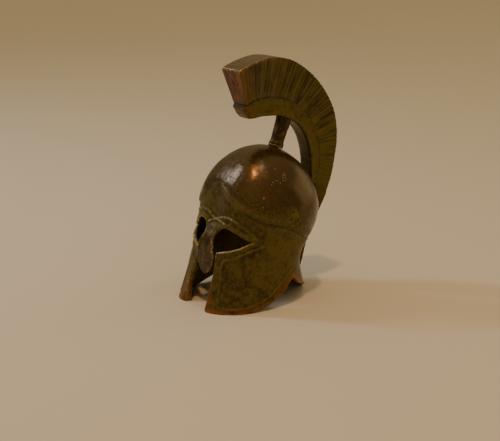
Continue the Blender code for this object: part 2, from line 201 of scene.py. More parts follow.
def inside_path(places: Array, path: Array) -> Array:
    """Whether places of a plane lie inside a closed path.

    Args:
        places: places to test, one per row.
        path: the path's points, one per row.

    Returns:
        True or False for each place.
    """
    x, y = places[:, 0], places[:, 1]
    inside = np.zeros(len(places), bool)
    for (ax, ay), (bx, by) in zip(path, np.roll(path, -1, axis=0)):
        if ay == by:
            continue
        crosses = (ay > y) != (by > y)
        inside ^= crosses & (x < (bx - ax) * (y - ay) / (by - ay) + ax)
    return inside


def grid_mesh(columns: int, rows: int) -> tuple[Mesh, Array, Array]:
    """A grid of faces, whose points are still to be placed.

    Args:
        columns: faces along the first direction.
        rows: faces along the second direction.

    Returns:
        The bmesh, and the column and the row number of each of its points.
    """
    mesh = bmesh.new()
    bmesh.ops.create_grid(mesh, x_segments=columns, y_segments=rows, size=0.5)
    flat = np.array([v.co[:2] for v in mesh.verts])
    number = np.rint((flat + 0.5) * (columns, rows)).astype(int)
    return mesh, number[:, 0], number[:, 1]


def weld(mesh: Mesh) -> None:
    """Merge the points that coincide, and turn all faces the same way."""
    bmesh.ops.remove_doubles(mesh, verts=mesh.verts, dist=WELD)
    bmesh.ops.recalc_face_normals(mesh, faces=mesh.faces)


def positions(mesh: Mesh) -> Array:
    """Every vertex's place in millimetres."""
    return np.array([v.co for v in mesh.verts]) / MM


def normals(mesh: Mesh) -> Array:
    """Every vertex's unit normal."""
    mesh.normal_update()
    return np.array([v.normal for v in mesh.verts])


def set_positions(mesh: Mesh, places: Array) -> None:
    """Move every vertex to its place in millimetres."""
    for vertex, co in zip(mesh.verts, places * MM):
        vertex.co = co


def layer_values(mesh: Mesh, name: str) -> Array:
    """A float layer's values, one per vertex."""
    layer = mesh.verts.layers.float[name]
    return np.array([v[layer] for v in mesh.verts])


def set_layer(mesh: Mesh, name: str, values: Array) -> None:
    """Write a float layer, made if it is missing.

    Args:
        mesh: the shape.
        name: the layer's name.
        values: one value per vertex.
    """
    layer = mesh.verts.layers.float.get(name) or mesh.verts.layers.float.new(name)
    for vertex, value in zip(mesh.verts, values):
        vertex[layer] = float(value)


def wobble(places: Array, size_mm: float, seed: float) -> Array:
    """Smooth unevenness between about -1 and 1, from a few crossed waves.

    Args:
        places: places in millimetres, one per row.
        size_mm: the size of its swells.
        seed: shifts the waves.

    Returns:
        One value per place.
    """
    total = np.zeros(len(places))
    for k in range(5):
        angle = seed + 1.9 * k
        lean = math.sin(2.3 * k + seed)
        direction = np.array([math.cos(angle), math.sin(angle), lean])
        direction /= np.linalg.norm(direction)
        wave = 2 * math.pi / (size_mm * (0.8 + 0.17 * k))
        total += np.sin(places @ direction * wave + 2.1 * k * seed)
    return total / 3.0


def sort_parts(mesh: Mesh) -> None:
    """Put a mesh's parts in order, which some operators leave to chance on each run.

    Args:
        mesh: the shape whose vertices, edges and faces are sorted.
    """
    mesh.verts.sort(key=lambda vertex: vertex.co.dot(SORTING))
    mesh.verts.index_update()
    for parts in (mesh.edges, mesh.faces):
        listed = sorted(parts, key=lambda part: sorted(v.index for v in part.verts))
        ranks = {part: rank for rank, part in enumerate(listed)}
        parts.sort(key=ranks.get)


def finished_piece(
    mesh: Mesh, name: str, node: str, material: bpy.types.Material
) -> bpy.types.Object:
    """Turn a bmesh into a piece that stands for a node of the model.

    Args:
        mesh: the shape in metres, which is freed.
        name: the piece's name.
        node: the node of the model that it stands for.
        material: its finish.

    Returns:
        The object, riding on the body.
    """
    sort_parts(mesh)
    data = bpy.data.meshes.new(name)
    mesh.to_mesh(data)
    mesh.free()
    data.shade_smooth()
    data.materials.append(material)
    item = bpy.data.objects.new(name, data)
    bpy.context.scene.collection.objects.link(item)
    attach(item, BODY)
    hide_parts(node)
    log.info("%s: %d faces", name, len(data.polygons))
    return item


class Layer(str, Enum):
    """Surface facts that the meshes hand to the finishes, painted shade and painted light among
    them.
    """

    # Rubbed wear, and painted light: the lightened inside skin, the crown's warm sheen, glints on
    # the crest's top front edge.
    WEAR = "wear"
    # Grime, and painted shade under overhangs, beside ridges, under the crest's band and up the
    # post.
    GRIME = "grime"
    POLISH = "polish"
    # Copper stain, and a painted warm sheen on the crown and a painted warm reflection under the
    # band.
    STAIN = "stain"
    CORRODED = "corroded"
    # Lighter or darker patina, and painted light: lighter to the shell's rear and the hair's top
    # and rear, darker on its front.
    TONE = "tone"


FLOW = "flow"


def set_facts(mesh: Mesh, facts: dict[Layer, Array]) -> None:
    """Hand a mesh's surface facts to its finish.

    Args:
        mesh: the shape.
        facts: one value per vertex for each layer that isn't nought.
    """
    for layer in Layer:
        values = facts.get(layer, np.zeros(len(mesh.verts)))
        low = -1.0 if layer is Layer.TONE else 0.0
        set_layer(mesh, layer.value, np.clip(values, low, 1.0))


def set_flow(mesh: Mesh, flow: Array) -> None:
    """Hand a mesh's grain to its finish.

    Args:
        mesh: the shape.
        flow: millimetres along and across the grain, one place per vertex.
    """
    grain = mesh.verts.layers.float_vector.new(FLOW)
    for vertex, place in zip(mesh.verts, flow * MM):
        vertex[grain] = Vector(place)


# height, half width, front and squareness of the face and cheek guards below the crown
FACE_ROWS: Table = (
    (0.0, 21.0, -31.9, 2.65), (4.0, 20.9, -30.1, 2.65), (7.0, 20.9, -28.9, 2.65),
    (11.0, 20.8, -27.3, 2.65), (15.0, 20.6, -26.0, 2.65), (19.0, 20.3, -24.7, 2.65),
    (23.0, 20.0, -23.6, 2.65), (27.0, 19.6, -22.6, 2.65), (31.0, 19.3, -21.7, 2.7),
    (35.0, 18.9, -20.7, 2.85), (39.0, 18.3, -19.7, 3.0), (44.0, 17.2, -18.6, 3.1),
)
# height and rear of the neck guard, which is waisted and flares at its hem
NECK_ROWS: Table = (
    (0.0, 18.0), (1.2, 17.2), (3.0, 16.0), (5.0, 14.9), (8.0, 13.7), (11.0, 12.8), (14.0, 12.4),
    (17.0, 13.1), (19.0, 14.3), (21.0, 16.5), (23.0, 19.0), (25.0, 20.2), (35.0, 21.0),
    (44.0, 18.6),
)
# turn and height of the keel line where the crown meets the face and the neck
KEEL_LINE: Table = (
    (0.0, 43.7), (4.0, 42.2), (13.0, 40.7), (22.0, 39.3), (34.5, 37.8), (48.0, 36.2),
    (58.5, 35.0), (67.5, 33.8), (76.0, 32.8), (84.5, 31.8), (91.0, 30.6), (97.5, 28.9),
    (106.7, 26.4), (122.0, 23.1), (145.0, 20.8), (180.0, 20.0),
)
# turn and height of the lower edge: cheek guard, notch, neck guard
LOWER_EDGE: Table = (
    (0.0, 0.6), (16.0, 0.6), (24.0, 0.1), (30.0, 0.0), (58.0, 0.0), (66.0, 0.4), (76.0, 1.5),
    (84.0, 2.8), (88.0, 4.5), (91.0, 6.1), (96.0, 8.1), (101.0, 9.7), (106.0, 10.4),
    (112.0, 9.0), (118.0, 7.3), (126.0, 6.2), (140.0, 4.4), (150.0, 3.0), (160.0, 1.4),
    (168.0, 0.3), (172.0, 0.0), (180.0, 0.0),
)
# height and offset along Y of the nose line from the face's own front, positive is set back
NOSE_LINE: Table = (
    (0.0, 1.6), (11.0, 1.6), (15.0, 0.5), (19.0, -0.5), (23.0, -1.1), (26.0, -0.9), (29.0, 0.3),
    (32.0, 1.3), (34.0, 1.1), (38.0, 0.6), (43.0, 0.1), (46.0, 0.0), (60.0, 0.0),
)
# offset and height up the left cheek guard's edge of the face slot
LEFT_SLOT: Table = (
    (8.7, -3.0), (8.0, 0.6), (7.6, 4.5), (7.2, 8.0), (6.9, 11.4), (6.6, 15.0), (6.3, 19.2),
    (6.5, 21.3), (7.4, 24.0),
)
# the same up the right cheek guard's edge, whose foot reaches further in
RIGHT_SLOT: Table = (
    (6.4, -3.0), (5.7, 0.6), (6.2, 2.2), (6.9, 4.5), (7.2, 8.0), *LEFT_SLOT[4:],
)
# half width and height down the nose guard's edge to its tip
NOSE_GUARD: Table = (
    (3.5, 25.4), (4.1, 23.2), (4.8, 20.5), (5.0, 18.2), (4.6, 16.2), (3.6, 14.6), (2.4, 13.3),
    (1.2, 12.4), (0.0, 12.0),
)
# turn and height round the left eye opening: its upper side to the outer tip, then its lower side
LEFT_EYE: Table = (
    (6.0, 26.0), (6.0, 27.4), (9.1, 29.3), (14.3, 30.3), (21.5, 30.4), (32.1, 29.4),
    (43.9, 28.0), (53.7, 26.9), (61.0, 26.3), (51.8, 25.2), (41.9, 23.8), (31.8, 22.7),
    (20.0, 21.7), (12.6, 21.2), (9.0, 23.5),
)
# turn and height round the right eye opening, drawn to the left like the others
RIGHT_EYE: Table = (
    (4.6, 26.0), (4.6, 27.8), (7.2, 30.3), (12.4, 31.6), (20.5, 31.4), (27.5, 30.2),
    (32.0, 28.0), (43.0, 26.7), (61.0, 26.3), (51.8, 25.2), (41.9, 23.8), (31.8, 22.7),
    (20.0, 21.7), (11.6, 21.2), (7.4, 23.5),
)
# turn and height along the left brow's ridge, from its inner end over the nose to the temple
LEFT_BROW: Table = (
    (-4.5, 30.6), (0.0, 32.3), (4.6, 33.4), (9.5, 34.0), (14.6, 34.2), (22.8, 34.1),
    (34.7, 32.9), (45.9, 31.3), (56.4, 29.2), (63.3, 27.4),
)
# the right brow's ridge, whose inner end runs on past the nose
RIGHT_BROW: Table = (
    (15.0, 31.9), (7.6, 32.3), (0.1, 32.5), (-3.0, 33.2), (-6.7, 34.5), (-14.6, 34.9),
    (-22.8, 34.4), (-34.7, 33.1), (-45.9, 31.6), (-56.4, 29.4), (-63.3, 27.5),
)
# turn and height along the raised border of the left cheek guard
CHEEK_BORDER: Table = (
    (72.6, 24.5), (62.9, 23.6), (55.5, 23.0), (43.4, 21.3), (33.8, 19.7), (23.6, 19.0),
    (21.3, 18.0), (22.1, 15.6), (24.3, 12.1), (25.8, 8.6), (27.6, 4.6), (29.0, 2.7),
    (33.4, 2.1), (44.6, 1.9), (54.8, 2.0), (64.3, 2.6), (71.5, 3.4), (78.4, 4.6), (83.9, 6.4),
    (88.6, 9.4), (94.8, 12.0), (101.6, 13.6),
)


@dataclass
class HelmetSurface:
    """The outer and inner skins of the casting as functions of turn and height."""

    wall: float = 1.8
    crown_half_width: float = 20.0
    crown_front: float = -21.0
    crown_centre: float = -0.25
    crown_rear: float = 22.9
    crown_equator: float = 33.85
    crown_top: float = 57.75
    crown_pole: float = -0.2
    crown_fullness: float = 1.85
    crown_squareness: float = 3.1
    rear_squareness: float = 2.3
    face_centre: float = -4.3
    nose_flat: float = 5.3
    nose_edge: float = 7.2
    brow_dip: float = 4.6
    brow_blend: float = 3.0
    keel_dip: float = 1.7
    brow_height: float = 29.0

    def __post_init__(self) -> None:
        """Fit the tables' curves."""
        self.half_width = SmoothCurve(FACE_ROWS, 1)
        self.front = SmoothCurve(FACE_ROWS, 2)
        self.squareness = SmoothCurve(FACE_ROWS, 3)
        self.neck = SmoothCurve(NECK_ROWS)
        self.keel = SmoothCurve(KEEL_LINE)
        self.edge = SmoothCurve(LOWER_EDGE)
        self.nose = SmoothCurve(NOSE_LINE)

    def plan(
        self,
        turn: Array,
        half_width: Array,
        front: Array,
        centre: Array,
        rear: Array,
        squareness: Array,
    ) -> tuple[Array, Array]:
        """Points of a plan outline.

        Args:
            turn: degrees round the helmet, negative on its right side.
            half_width: half the width of the outline.
            front: its foremost Y.
            centre: the Y where it is widest.
            rear: its rearmost Y.
            squareness: the superellipse's power in front of the centre.

        Returns:
            X and Y in millimetres.
        """
        angle = np.radians(turn)
        sine = np.where(np.abs(turn) > 179.9999, 0.0, np.sin(angle))
        cosine = np.cos(angle)
        ahead = cosine > 0
        power = 2 / np.where(ahead, squareness, self.rear_squareness)
        reach = np.where(ahead, centre - front, rear - centre)
        x = half_width * np.sign(sine) * np.abs(sine) ** power
        y = centre - reach * np.sign(cosine) * np.abs(cosine) ** power
        return x, y

    def keel_at(self, turn: Array) -> Array:
        """Height of the keel line, which dips a little at the front of the right side."""
        dip = smooth_step(6.0, 24.0, -turn) * smooth_step(70.0, 40.0, -turn)
        return self.keel(np.abs(turn)) - self.keel_dip * dip

    def nose_shift(self, x: Array, height: Array, turn: Array) -> Array:
        """How far the nose line moves the front along Y.

        Args:
            x: offset from the middle in millimetres.
            height: millimetres above the foot.
            turn: degrees round the helmet.

        Returns:
            Millimetres towards the rear, one value per place.
        """
        guard = 1 - smooth_step(self.nose_flat, self.nose_edge, np.abs(x))
        brow = np.exp(-((x / self.brow_dip) ** 2))
        blend = smooth_step(
            self.brow_height - self.brow_blend, self.brow_height + self.brow_blend, height
        )
        weight = guard * (1 - blend) + brow * blend
        return np.where(np.abs(turn) < 90, self.nose(height) * weight, 0.0)

    def face(self, turn: Array, height: Array, inset: float) -> Array:
        """Places on the face, the cheek guards and the neck guard.

        Args:
            turn: degrees round the helmet.
            height: millimetres above the foot.
            inset: depth under the outer skin.

        Returns:
            Places in millimetres, one per row.
        """
        x, y = self.plan(
            turn,
            self.half_width(height) - inset,
            self.front(height) + inset,
            np.full_like(height, self.face_centre),
            self.neck(height) - inset,
            self.squareness(height),
        )
        y = y + self.nose_shift(x, height, turn)
        return np.stack([x, y, height], 1)

    def crown(self, turn: Array, rise: Array, inset: float) -> Array:
        """Places on the crown.

        Args:
            turn: degrees round the helmet.
            rise: angle above the equator, a quarter turn at the pole.
            inset: depth under the outer skin.

        Returns:
            Places in millimetres, one per row.
        """
        reach = self.crown_top - inset - self.crown_equator
        height = self.crown_equator + reach * np.sin(rise)
        share = np.abs(np.sin(rise)) ** self.crown_fullness
        share = np.clip(1 - share, 0.0, 1.0) ** (1 / self.crown_fullness)
        share = np.where(rise > math.pi / 2 - 1e-6, 0.0, share)
        above = height > self.crown_equator
        drift = (self.crown_centre - self.crown_pole) * share
        centre = np.where(above, self.crown_pole + drift, self.crown_centre)
        x, y = self.plan(
            turn,
            (self.crown_half_width - inset) * share,
            centre - (self.crown_centre - self.crown_front - inset) * share,
            centre,
            centre + (self.crown_rear - self.crown_centre - inset) * share,
            np.full_like(share, self.crown_squareness),
        )
        y = y + self.nose_shift(x, height, turn)
        return np.stack([x, y, height], 1)

    def crown_place(self, turn: float, height: float) -> Array:
        """The place on the crown at a turn and a height, in the scene's frame."""
        rise = math.asin((height - self.crown_equator) / (self.crown_top - self.crown_equator))
        return self.crown(np.array([turn]), np.array([rise]), 0.0)[0] + DATUM_MM

    def turn_at(self, x: Array, height: Array) -> Array:
        """The turn of places in front of the helmet's widest one.

        Args:
            x: offset from the middle in millimetres.
            height: millimetres above the foot.

        Returns:
            Degrees round the helmet, one value per place.
        """
        share = np.clip(np.abs(x) / self.half_width(height), 0.0, 1.0)
        sine = share ** (self.squareness(height) / 2)
        return np.degrees(np.arcsin(sine)) * np.sign(x)


@dataclass
class ShellCasting:
    """The hollow casting: crown, face, cheek guards and neck guard in one piece.

    Its pattern is cut flat, as lengths round the helmet by rows from hem to crown, and is
    then wrapped onto the helmet's surface, raised where the relief is, and given its wall.
    """

    surface: HelmetSurface
    front_step: float = 0.31
    rear_step: float = 0.64
    front_turn: float = 76.0
    face_rows: int = 104
    lip_rows: int = 4
    crown_rows: int = 40
    lip_height: float = 0.55
    soft_lip_height: float = 1.2
    pattern_height: float = 22.0
    rim_steps: int = 6
    rim_bulge: float = 0.32
    brow_height: float = 0.28
    brow_width: float = 0.45
    border_height: float = 0.25
    border_width: float = 0.5
    lid_height: float = 0.34
    lid_width: float = 1.1
    far_lid_height: float = 0.2
    lower_lid_height: float = 0.58
    lower_lid_width: float = 1.1
    slot_lip_height: float = 0.12
    hem_height: float = 0.10
    bead_height: float = 0.22
    groove_depth: float = 0.20
    nasal_height: float = 0.10
    crown_length: float = 34.0
    crown_clear: float = 100.0
    foremost: float = -30.77
    half_width: float = 21.13
    rim_wall: float = 0.75
    rim_taper: float = 3.2
    patch: tuple[float, float, float] = (19.6, 1.4, 33.2)
    far_patch: tuple[float, float, float] = (-18.2, 8.5, 35.0)
    patch_size: tuple[float, float, float] = (6.0, 5.2, 5.4)
    # Where the crown carries a painted warm sheen round the warm lamp's highlight.
    warm_sheen_spot: tuple[float, float, float] = (11.5, -9.2, 50.4)
    reddish_spot: tuple[float, float, float] = (16.4, -11.0, 41.0)

    def __post_init__(self) -> None:
        """Measure the pattern's length round the helmet."""
        turns = np.linspace(0.0, 180.0, 721)
        ring = self.surface.face(turns, np.full_like(turns, self.pattern_height), 0.0)
        steps = np.linalg.norm(np.diff(ring, axis=0), axis=1)
        self.turns = turns
        self.lengths = np.concatenate([[0.0], np.cumsum(steps)])
        front = float(np.interp(self.front_turn, turns, self.lengths))
        whole = float(self.lengths[-1])
        half = spread(
            (
                (0.0, 0),
                (front, round(front / self.front_step)),
                (whole, round((whole - front) / self.rear_step)),
            )
        )
        self.columns = np.concatenate([-half[:0:-1], half])
        self.rows = spread(
            (
                (0.0, 0),
                (1.0, self.face_rows),
                (2.0, self.lip_rows),
                (3.0, self.crown_rows),
            )
        )

    def length_at(self, turn: Array) -> Array:
        """The pattern's length at a turn."""
        return np.sign(turn) * np.interp(np.abs(turn), self.turns, self.lengths)

    def turn_of(self, length: Array) -> Array:
        """The turn at a length of the pattern."""
        return np.sign(length) * np.interp(np.abs(length), self.lengths, self.turns)

    def face_height(self, turn: Array, row: Array) -> Array:
        """The height of a row, from 0 at the lower edge to 1 at the keel line."""
        low = self.surface.edge(np.abs(turn))
        return low + (self.surface.keel_at(turn) - low) * np.clip(row, 0.0, 1.0)

    def wrap(self, length: Array, row: Array, inset: float) -> Array:
        """Wrap the flat pattern onto the helmet.

        Args:
            length: lengths round the helmet.
            row: rows, 0 to 1 up the face, to 2 over the crown's lip, to 3 at the pole.
            inset: depth under the outer skin.

        Returns:
            Places in millimetres, one per row.
        """
        surface = self.surface
        turn = self.turn_of(length)
        face = surface.face(turn, self.face_height(turn, row), inset)
        reach = surface.crown_top - inset - surface.crown_equator
        soft = smooth_step(40.0, 12.0, np.abs(turn)) * (0.35 + 0.65 * smooth_step(4.0, -8.0, turn))
        lip_height = self.lip_height + self.soft_lip_height * soft
        lip = (surface.keel_at(turn) + lip_height - surface.crown_equator) / reach
        start = np.arcsin(lip)
        rise = start + (math.pi / 2 - start) * np.clip(row - 2.0, 0.0, 1.0)
        crown = surface.crown(turn, rise, inset)
        base = surface.face(turn, surface.keel_at(turn), inset)
        travel = np.clip(row - 1.0, 0.0, 1.0)
        swing = travel * math.pi / 2
        out = (np.sin(swing) + (travel - np.sin(swing)) * soft)[:, None]
        up = (1 - np.cos(swing) + (travel - 1 + np.cos(swing)) * soft)[:, None]
        start_ring = surface.crown(turn, start, inset)
        lip_place = base + (start_ring - base) * np.concatenate([out, out, up], 1)
        place = np.where((row <= 1.0)[:, None], face, lip_place)
        return np.where((row > 2.0)[:, None], crown, place)

    def outlines(self) -> list[Array]:
        """Draw the face's openings on the pattern.

        Returns:
            The face slot and both eyes as closed paths of lengths and heights.
        """
        nose = rounded_path(np.array(NOSE_GUARD), closed=False)
        left, right = (
            np.concatenate([rounded_path(np.array(rows), closed=False), nose])
            for rows in (LEFT_SLOT, RIGHT_SLOT)
        )
        slot = np.concatenate([left, (right * (-1, 1))[-2::-1]])
        slot[:, 0] = self.length_at(self.surface.turn_at(slot[:, 0], slot[:, 1]))
        eyes = []
        for rows, side in ((LEFT_EYE, 1.0), (RIGHT_EYE, -1.0)):
            eye = np.array(rows)
            upper = rounded_path(eye[:9], closed=False)
            lower = rounded_path(np.concatenate([eye[8:], eye[:1]]), closed=False)
            eye = np.concatenate([upper, lower[1:-1]])
            eyes.append(np.stack([side * self.length_at(eye[:, 0]), eye[:, 1]], 1))
        return [slot, *eyes]

    def gap_to_openings(self, places: Array) -> tuple[Array, Array]:
        """Signed distance to the nearest opening, negative inside one.

        Args:
            places: lengths and heights, one place per row.

        Returns:
            The distances, and the nearest places on the outlines.
        """
        gap = np.full(len(places), np.inf)
        foot = places.copy()
        for path in self.openings:
            distance, near = nearest_on_path(places, path, closed=True)
            signed = np.where(inside_path(places, path), -distance, distance)
            nearer = signed < gap
            gap[nearer] = signed[nearer]
            foot[nearer] = near[nearer]
        return gap, foot

    def flat_places(self, flat: Array) -> Array:
        """Turn the rows of pattern points into heights, to measure from to the openings.

        Args:
            flat: lengths and rows.

        Returns:
            Lengths and heights, with the crown's points put out of the openings' reach.
        """
        turn = self.turn_of(flat[:, 0])
        height = self.face_height(turn, flat[:, 1])
        return np.stack([flat[:, 0], height + self.crown_clear * (flat[:, 1] > 1.0)], 1)

    def flat_row(self, place: Array) -> Array:
        """Turn the heights of places into rows.

        Args:
            place: lengths and heights.

        Returns:
            Rows, from 0 at the lower edge to 1 at the keel line.
        """
        turn = self.turn_of(place[:, 0])
        low = self.surface.edge(np.abs(turn))
        return np.clip((place[:, 1] - low) / (self.surface.keel_at(turn) - low), 0.0, 1.0)

    def cut_sheet(self) -> Mesh:
        """The flat pattern with the eyes and the face slot cut out of it.

        Returns:
            A bmesh whose X is the length round the helmet and whose Y is the row.
        """
        columns, rows = self.columns, self.rows
        self.openings = self.outlines()
        mesh, i, j = grid_mesh(len(columns) - 1, len(rows) - 1)
        set_positions(mesh, np.stack([columns[i], rows[j], np.zeros(len(i))], 1))
        flat = positions(mesh)
        gap, foot = self.gap_to_openings(self.flat_places(flat))
        near = np.abs(gap) < 0.3 * self.front_step
        flat[near, 0] = foot[near, 0]
        flat[near, 1] = np.where(flat[near, 1] > 0.0, self.flat_row(foot[near]), 0.0)
        gap[near] = 0.0
        set_positions(mesh, flat)
        set_layer(mesh, "gap", gap)
        layer = mesh.verts.layers.float["gap"]
        crossing = [e for e in mesh.edges if e.verts[0][layer] * e.verts[1][layer] < 0.0]
        for edge in crossing:
            start, end = edge.verts
            share = start[layer] / (start[layer] - end[layer])
            _, fresh = bmesh.utils.edge_split(edge, start, share)
            fresh[layer] = 0.0
        touched = [
            f
            for f in mesh.faces
            if any(v[layer] < 0 for v in f.verts) and any(v[layer] > 0 for v in f.verts)
        ]
        for face in touched:
            rim = [v for v in face.verts if v[layer] == 0.0]
            if len(rim) == 2 and not any(rim[1] in e.verts for e in rim[0].link_edges):
                bmesh.utils.face_split(face, rim[0], rim[1])
        doomed = [
            f
            for f in mesh.faces
            if any(v[layer] < 0 for v in f.verts) or self.all_inside(f, layer)
        ]
        bmesh.ops.delete(mesh, geom=doomed, context="FACES")
        return mesh

    def all_inside(self, face: bmesh.types.BMFace, layer: bmesh.types.BMLayerItem) -> bool:
        """Whether a face whose corners all lie on outlines is itself in an opening.

        Args:
            face: the face.
            layer: the layer of signed distances to the outlines.

        Returns:
            True if all its corners lie on outlines and its middle is in an opening.
        """
        if any(v[layer] != 0.0 for v in face.verts):
            return False
        middle = np.array([face.calc_center_median()]) / MM
        return bool(self.gap_to_openings(self.flat_places(middle))[0][0] < 0)

    def ridge(self, table: Table, places: Array) -> Array:
        """Distance in space from places to a line drawn on the face.

        Args:
            table: turns and heights along the line.
            places: places in millimetres.

        Returns:
            Distances in millimetres.
        """
        line = rounded_path(np.array(table, float), closed=False, steps=4)
        path = self.surface.face(line[:, 0], line[:, 1], 0.0)
        return nearest_on_path(places, path, closed=False)[0]

    def relief(self, flat: Array, places: Array) -> tuple[Array, dict[Layer, Array]]:
        """Height of the cast relief over the plain surface, and what it does to the finish.

        Args:
            flat: lengths and rows.
            places: places of the plain surface.

        Returns:
            Heights in millimetres, and the surface facts.
        """
        turn, row = self.turn_of(flat[:, 0]), flat[:, 1]
        around = np.abs(turn)
        spots = self.flat_places(flat)
        gap = np.clip(self.gap_to_openings(spots)[0], 0.0, None)
        # Heights over the foot, over the hem and up to the keel line, for places on the face.
        on_face = row <= 1.0
        level = np.where(on_face, spots[:, 1], FAR)
        hem = np.where(on_face, level - self.surface.edge(around), FAR)
        below_keel = np.where(on_face, self.surface.keel_at(turn) - level, FAR)
        # The raised lines of the brows, which fade to the temples, and of the cheek guards.
        brow_gap = np.minimum(self.ridge(LEFT_BROW, places), self.ridge(RIGHT_BROW, places))
        brow = bump(brow_gap, self.brow_width) * (1 - 0.4 * smooth_step(45.0, 64.0, around))
        bright = 0.35 + 0.85 * smooth_step(36.0, 22.0, around)
        mirrored = tuple((-there, height) for there, height in CHEEK_BORDER)
        border_gap = np.minimum(self.ridge(CHEEK_BORDER, places), self.ridge(mirrored, places))
        border = bump(border_gap, self.border_width)
        # The lips round the eyes and the face slot.
        eye = (level > 20.5) & (level < 33.5) & (around < 75)
        upper = np.where(eye, smooth_step(24.0, 26.5, level), 0.0)
        lid = np.where(eye, bump(gap - 0.7, self.lid_width), 0.0) * upper
        lower_lid = np.where(eye, bump(gap - 0.3, self.lower_lid_width), 0.0) * (1 - upper)
        slot_lip = np.where((level < 21.0) & (around < 40), bump(gap, 0.6), 0.0)
        # The crown's bead over the keel line on the left, and the groove under it.
        above_keel = np.where(row > 2.0, (row - 2.0) * self.crown_length, FAR)
        bead = bump(above_keel - 0.7, 1.5) * smooth_step(-3.0, 8.0, turn)
        bead = bead * smooth_step(85.0, 55.0, turn)
        line = smooth_step(16.0, 75.0, around)
        groove = bump(below_keel - 0.1, 0.5) * line
        ridge = np.exp(-((places[:, 0] / 0.9) ** 2)) * smooth_step(12.0, 15.0, level)
        nasal = np.where((level < 30.0) & (level > 12.0), ridge, 0.0)
        height = (
            self.brow_height * brow
            + self.border_height * border
            + self.lid_height * lid
            + self.lower_lid_height * lower_lid
            + self.far_lid_height * bump(gap - 0.35, 0.9) * upper * smooth_step(-24.0, -34.0, turn)
            + self.slot_lip_height * slot_lip
            + self.hem_height * bump(hem, 0.9)
            + self.bead_height * bead
            - self.groove_depth * groove
            + self.nasal_height * nasal
            + 0.05 * wobble(places, 6.0, 1.3)
            + 0.02 * wobble(places, 2.2, 4.1)
        )
        # Where the patina is rubbed, reddish, bare or corroded, and where shade and light are
        # painted.
        nose = smooth_step(7.0, 5.5, np.abs(places[:, 0])) * smooth_step(31.0, 28.0, level)
        ragged = 0.6 + 0.4 * wobble(places, 5.0, 2.0)
        # A painted warm sheen round the warm lamp's highlight on the crown, in copper and pale
        # specks.
        warm_sheen_halo = np.exp(-((np.linalg.norm(places - self.warm_sheen_spot, axis=1) / 3.2) ** 2))
        reddish = np.exp(-((np.linalg.norm(places - self.reddish_spot, axis=1) / 7.0) ** 2))
        cheek_front = smooth_step(3.4, 0.8, gap) * smooth_step(13.0, 6.0, level)
        low_hem = smooth_step(2.6 + 0.8 * ragged, 0.3, hem)
        patch = np.linalg.norm((places - self.patch) / self.patch_size, axis=1)
        far_patch = np.linalg.norm((places - self.far_patch) / self.patch_size, axis=1)
        band = np.where(row > 1.0, smooth_step(2.35, 2.05, row), 0.0)
        band = band * smooth_step(20.0, 50.0, around)
        uneven = 0.4 * wobble(places, 3.0, 6.0)
        corroded = smooth_step(1.3, 0.4, np.minimum(patch, far_patch) + uneven)
        facts = {
            Layer.WEAR: brow * bright
            + 0.45 * border * ragged
            + 0.9 * bump(gap, 0.35) * np.where(eye, np.where(turn < 0.0, 1.0, 1 - upper), 0.7)
            + 0.10 * lid
            # Painted warm sheen round the crown's warm highlight.
            + 0.22 * warm_sheen_halo
            + 0.22 * bead
            + 0.40 * bump(hem, 0.5),
            # Painted shade: darker under the keel line's overhang and along the sides of the cheek
            # borders and the brows.
            Layer.GRIME: 0.75 * bump(below_keel - 0.1, 0.7) * line
            + 0.35 * bump(border_gap - 0.8, 0.6)
            + 0.35 * bump(brow_gap - 1.0, 0.7),
            Layer.POLISH: np.where(row > 2.0, smooth_step(0.3, 3.0, above_keel), 0.0),
            Layer.STAIN: np.maximum(0.95 * low_hem, 0.75 * cheek_front)
            # Painted warm sheen round the crown's warm highlight, and a reddish patch.
            + np.where(row > 2.0, 0.45 * warm_sheen_halo + 0.12 * reddish, 0.0),
            Layer.CORRODED: np.maximum(corroded, 0.45 * band),
            Layer.TONE: 0.14 * bead + 0.05 * lid + 0.12 * border - 0.16 * nose
            # Painted light: lighter towards the sides and the rear, where more light falls.
            + 0.10 * smooth_step(60.0, 95.0, around),
        }
        return height, facts

    def build(self, material: bpy.types.Material) -> bpy.types.Object:
        """Cut, wrap, raise and wall the casting.

        Args:
            material: its finish.

        Returns:
            The finished piece.
        """
        mesh = self.cut_sheet()
        flat = positions(mesh)
        set_layer(mesh, "length", flat[:, 0])
        set_layer(mesh, "row", flat[:, 1])
        set_positions(mesh, self.wrap(flat[:, 0], flat[:, 1], 0.0))
        weld(mesh)
        places, facing = positions(mesh), normals(mesh)
        if ((places - (0.0, 0.0, 30.0)) * facing).sum() < 0:
            bmesh.ops.reverse_faces(mesh, faces=mesh.faces)
            facing = -facing
        flat = np.stack([layer_values(mesh, "length"), layer_values(mesh, "row")], 1)
        height, facts = self.relief(flat, places)
        raised = places + facing * height[:, None]
        set_facts(mesh, facts)
        self.add_wall(mesh, flat, raised)
        places = positions(mesh)
        places[:, 2] = np.clip(places[:, 2], 0.0, None)
        places[:, 0] = np.clip(places[:, 0], -self.half_width, self.half_width)
        places[:, 1] = np.clip(places[:, 1], self.foremost, None)
        set_positions(mesh, places + DATUM_MM)
        set_flow(mesh, places)
        return finished_piece(mesh, "shell_casting", "helmet_shell", material)

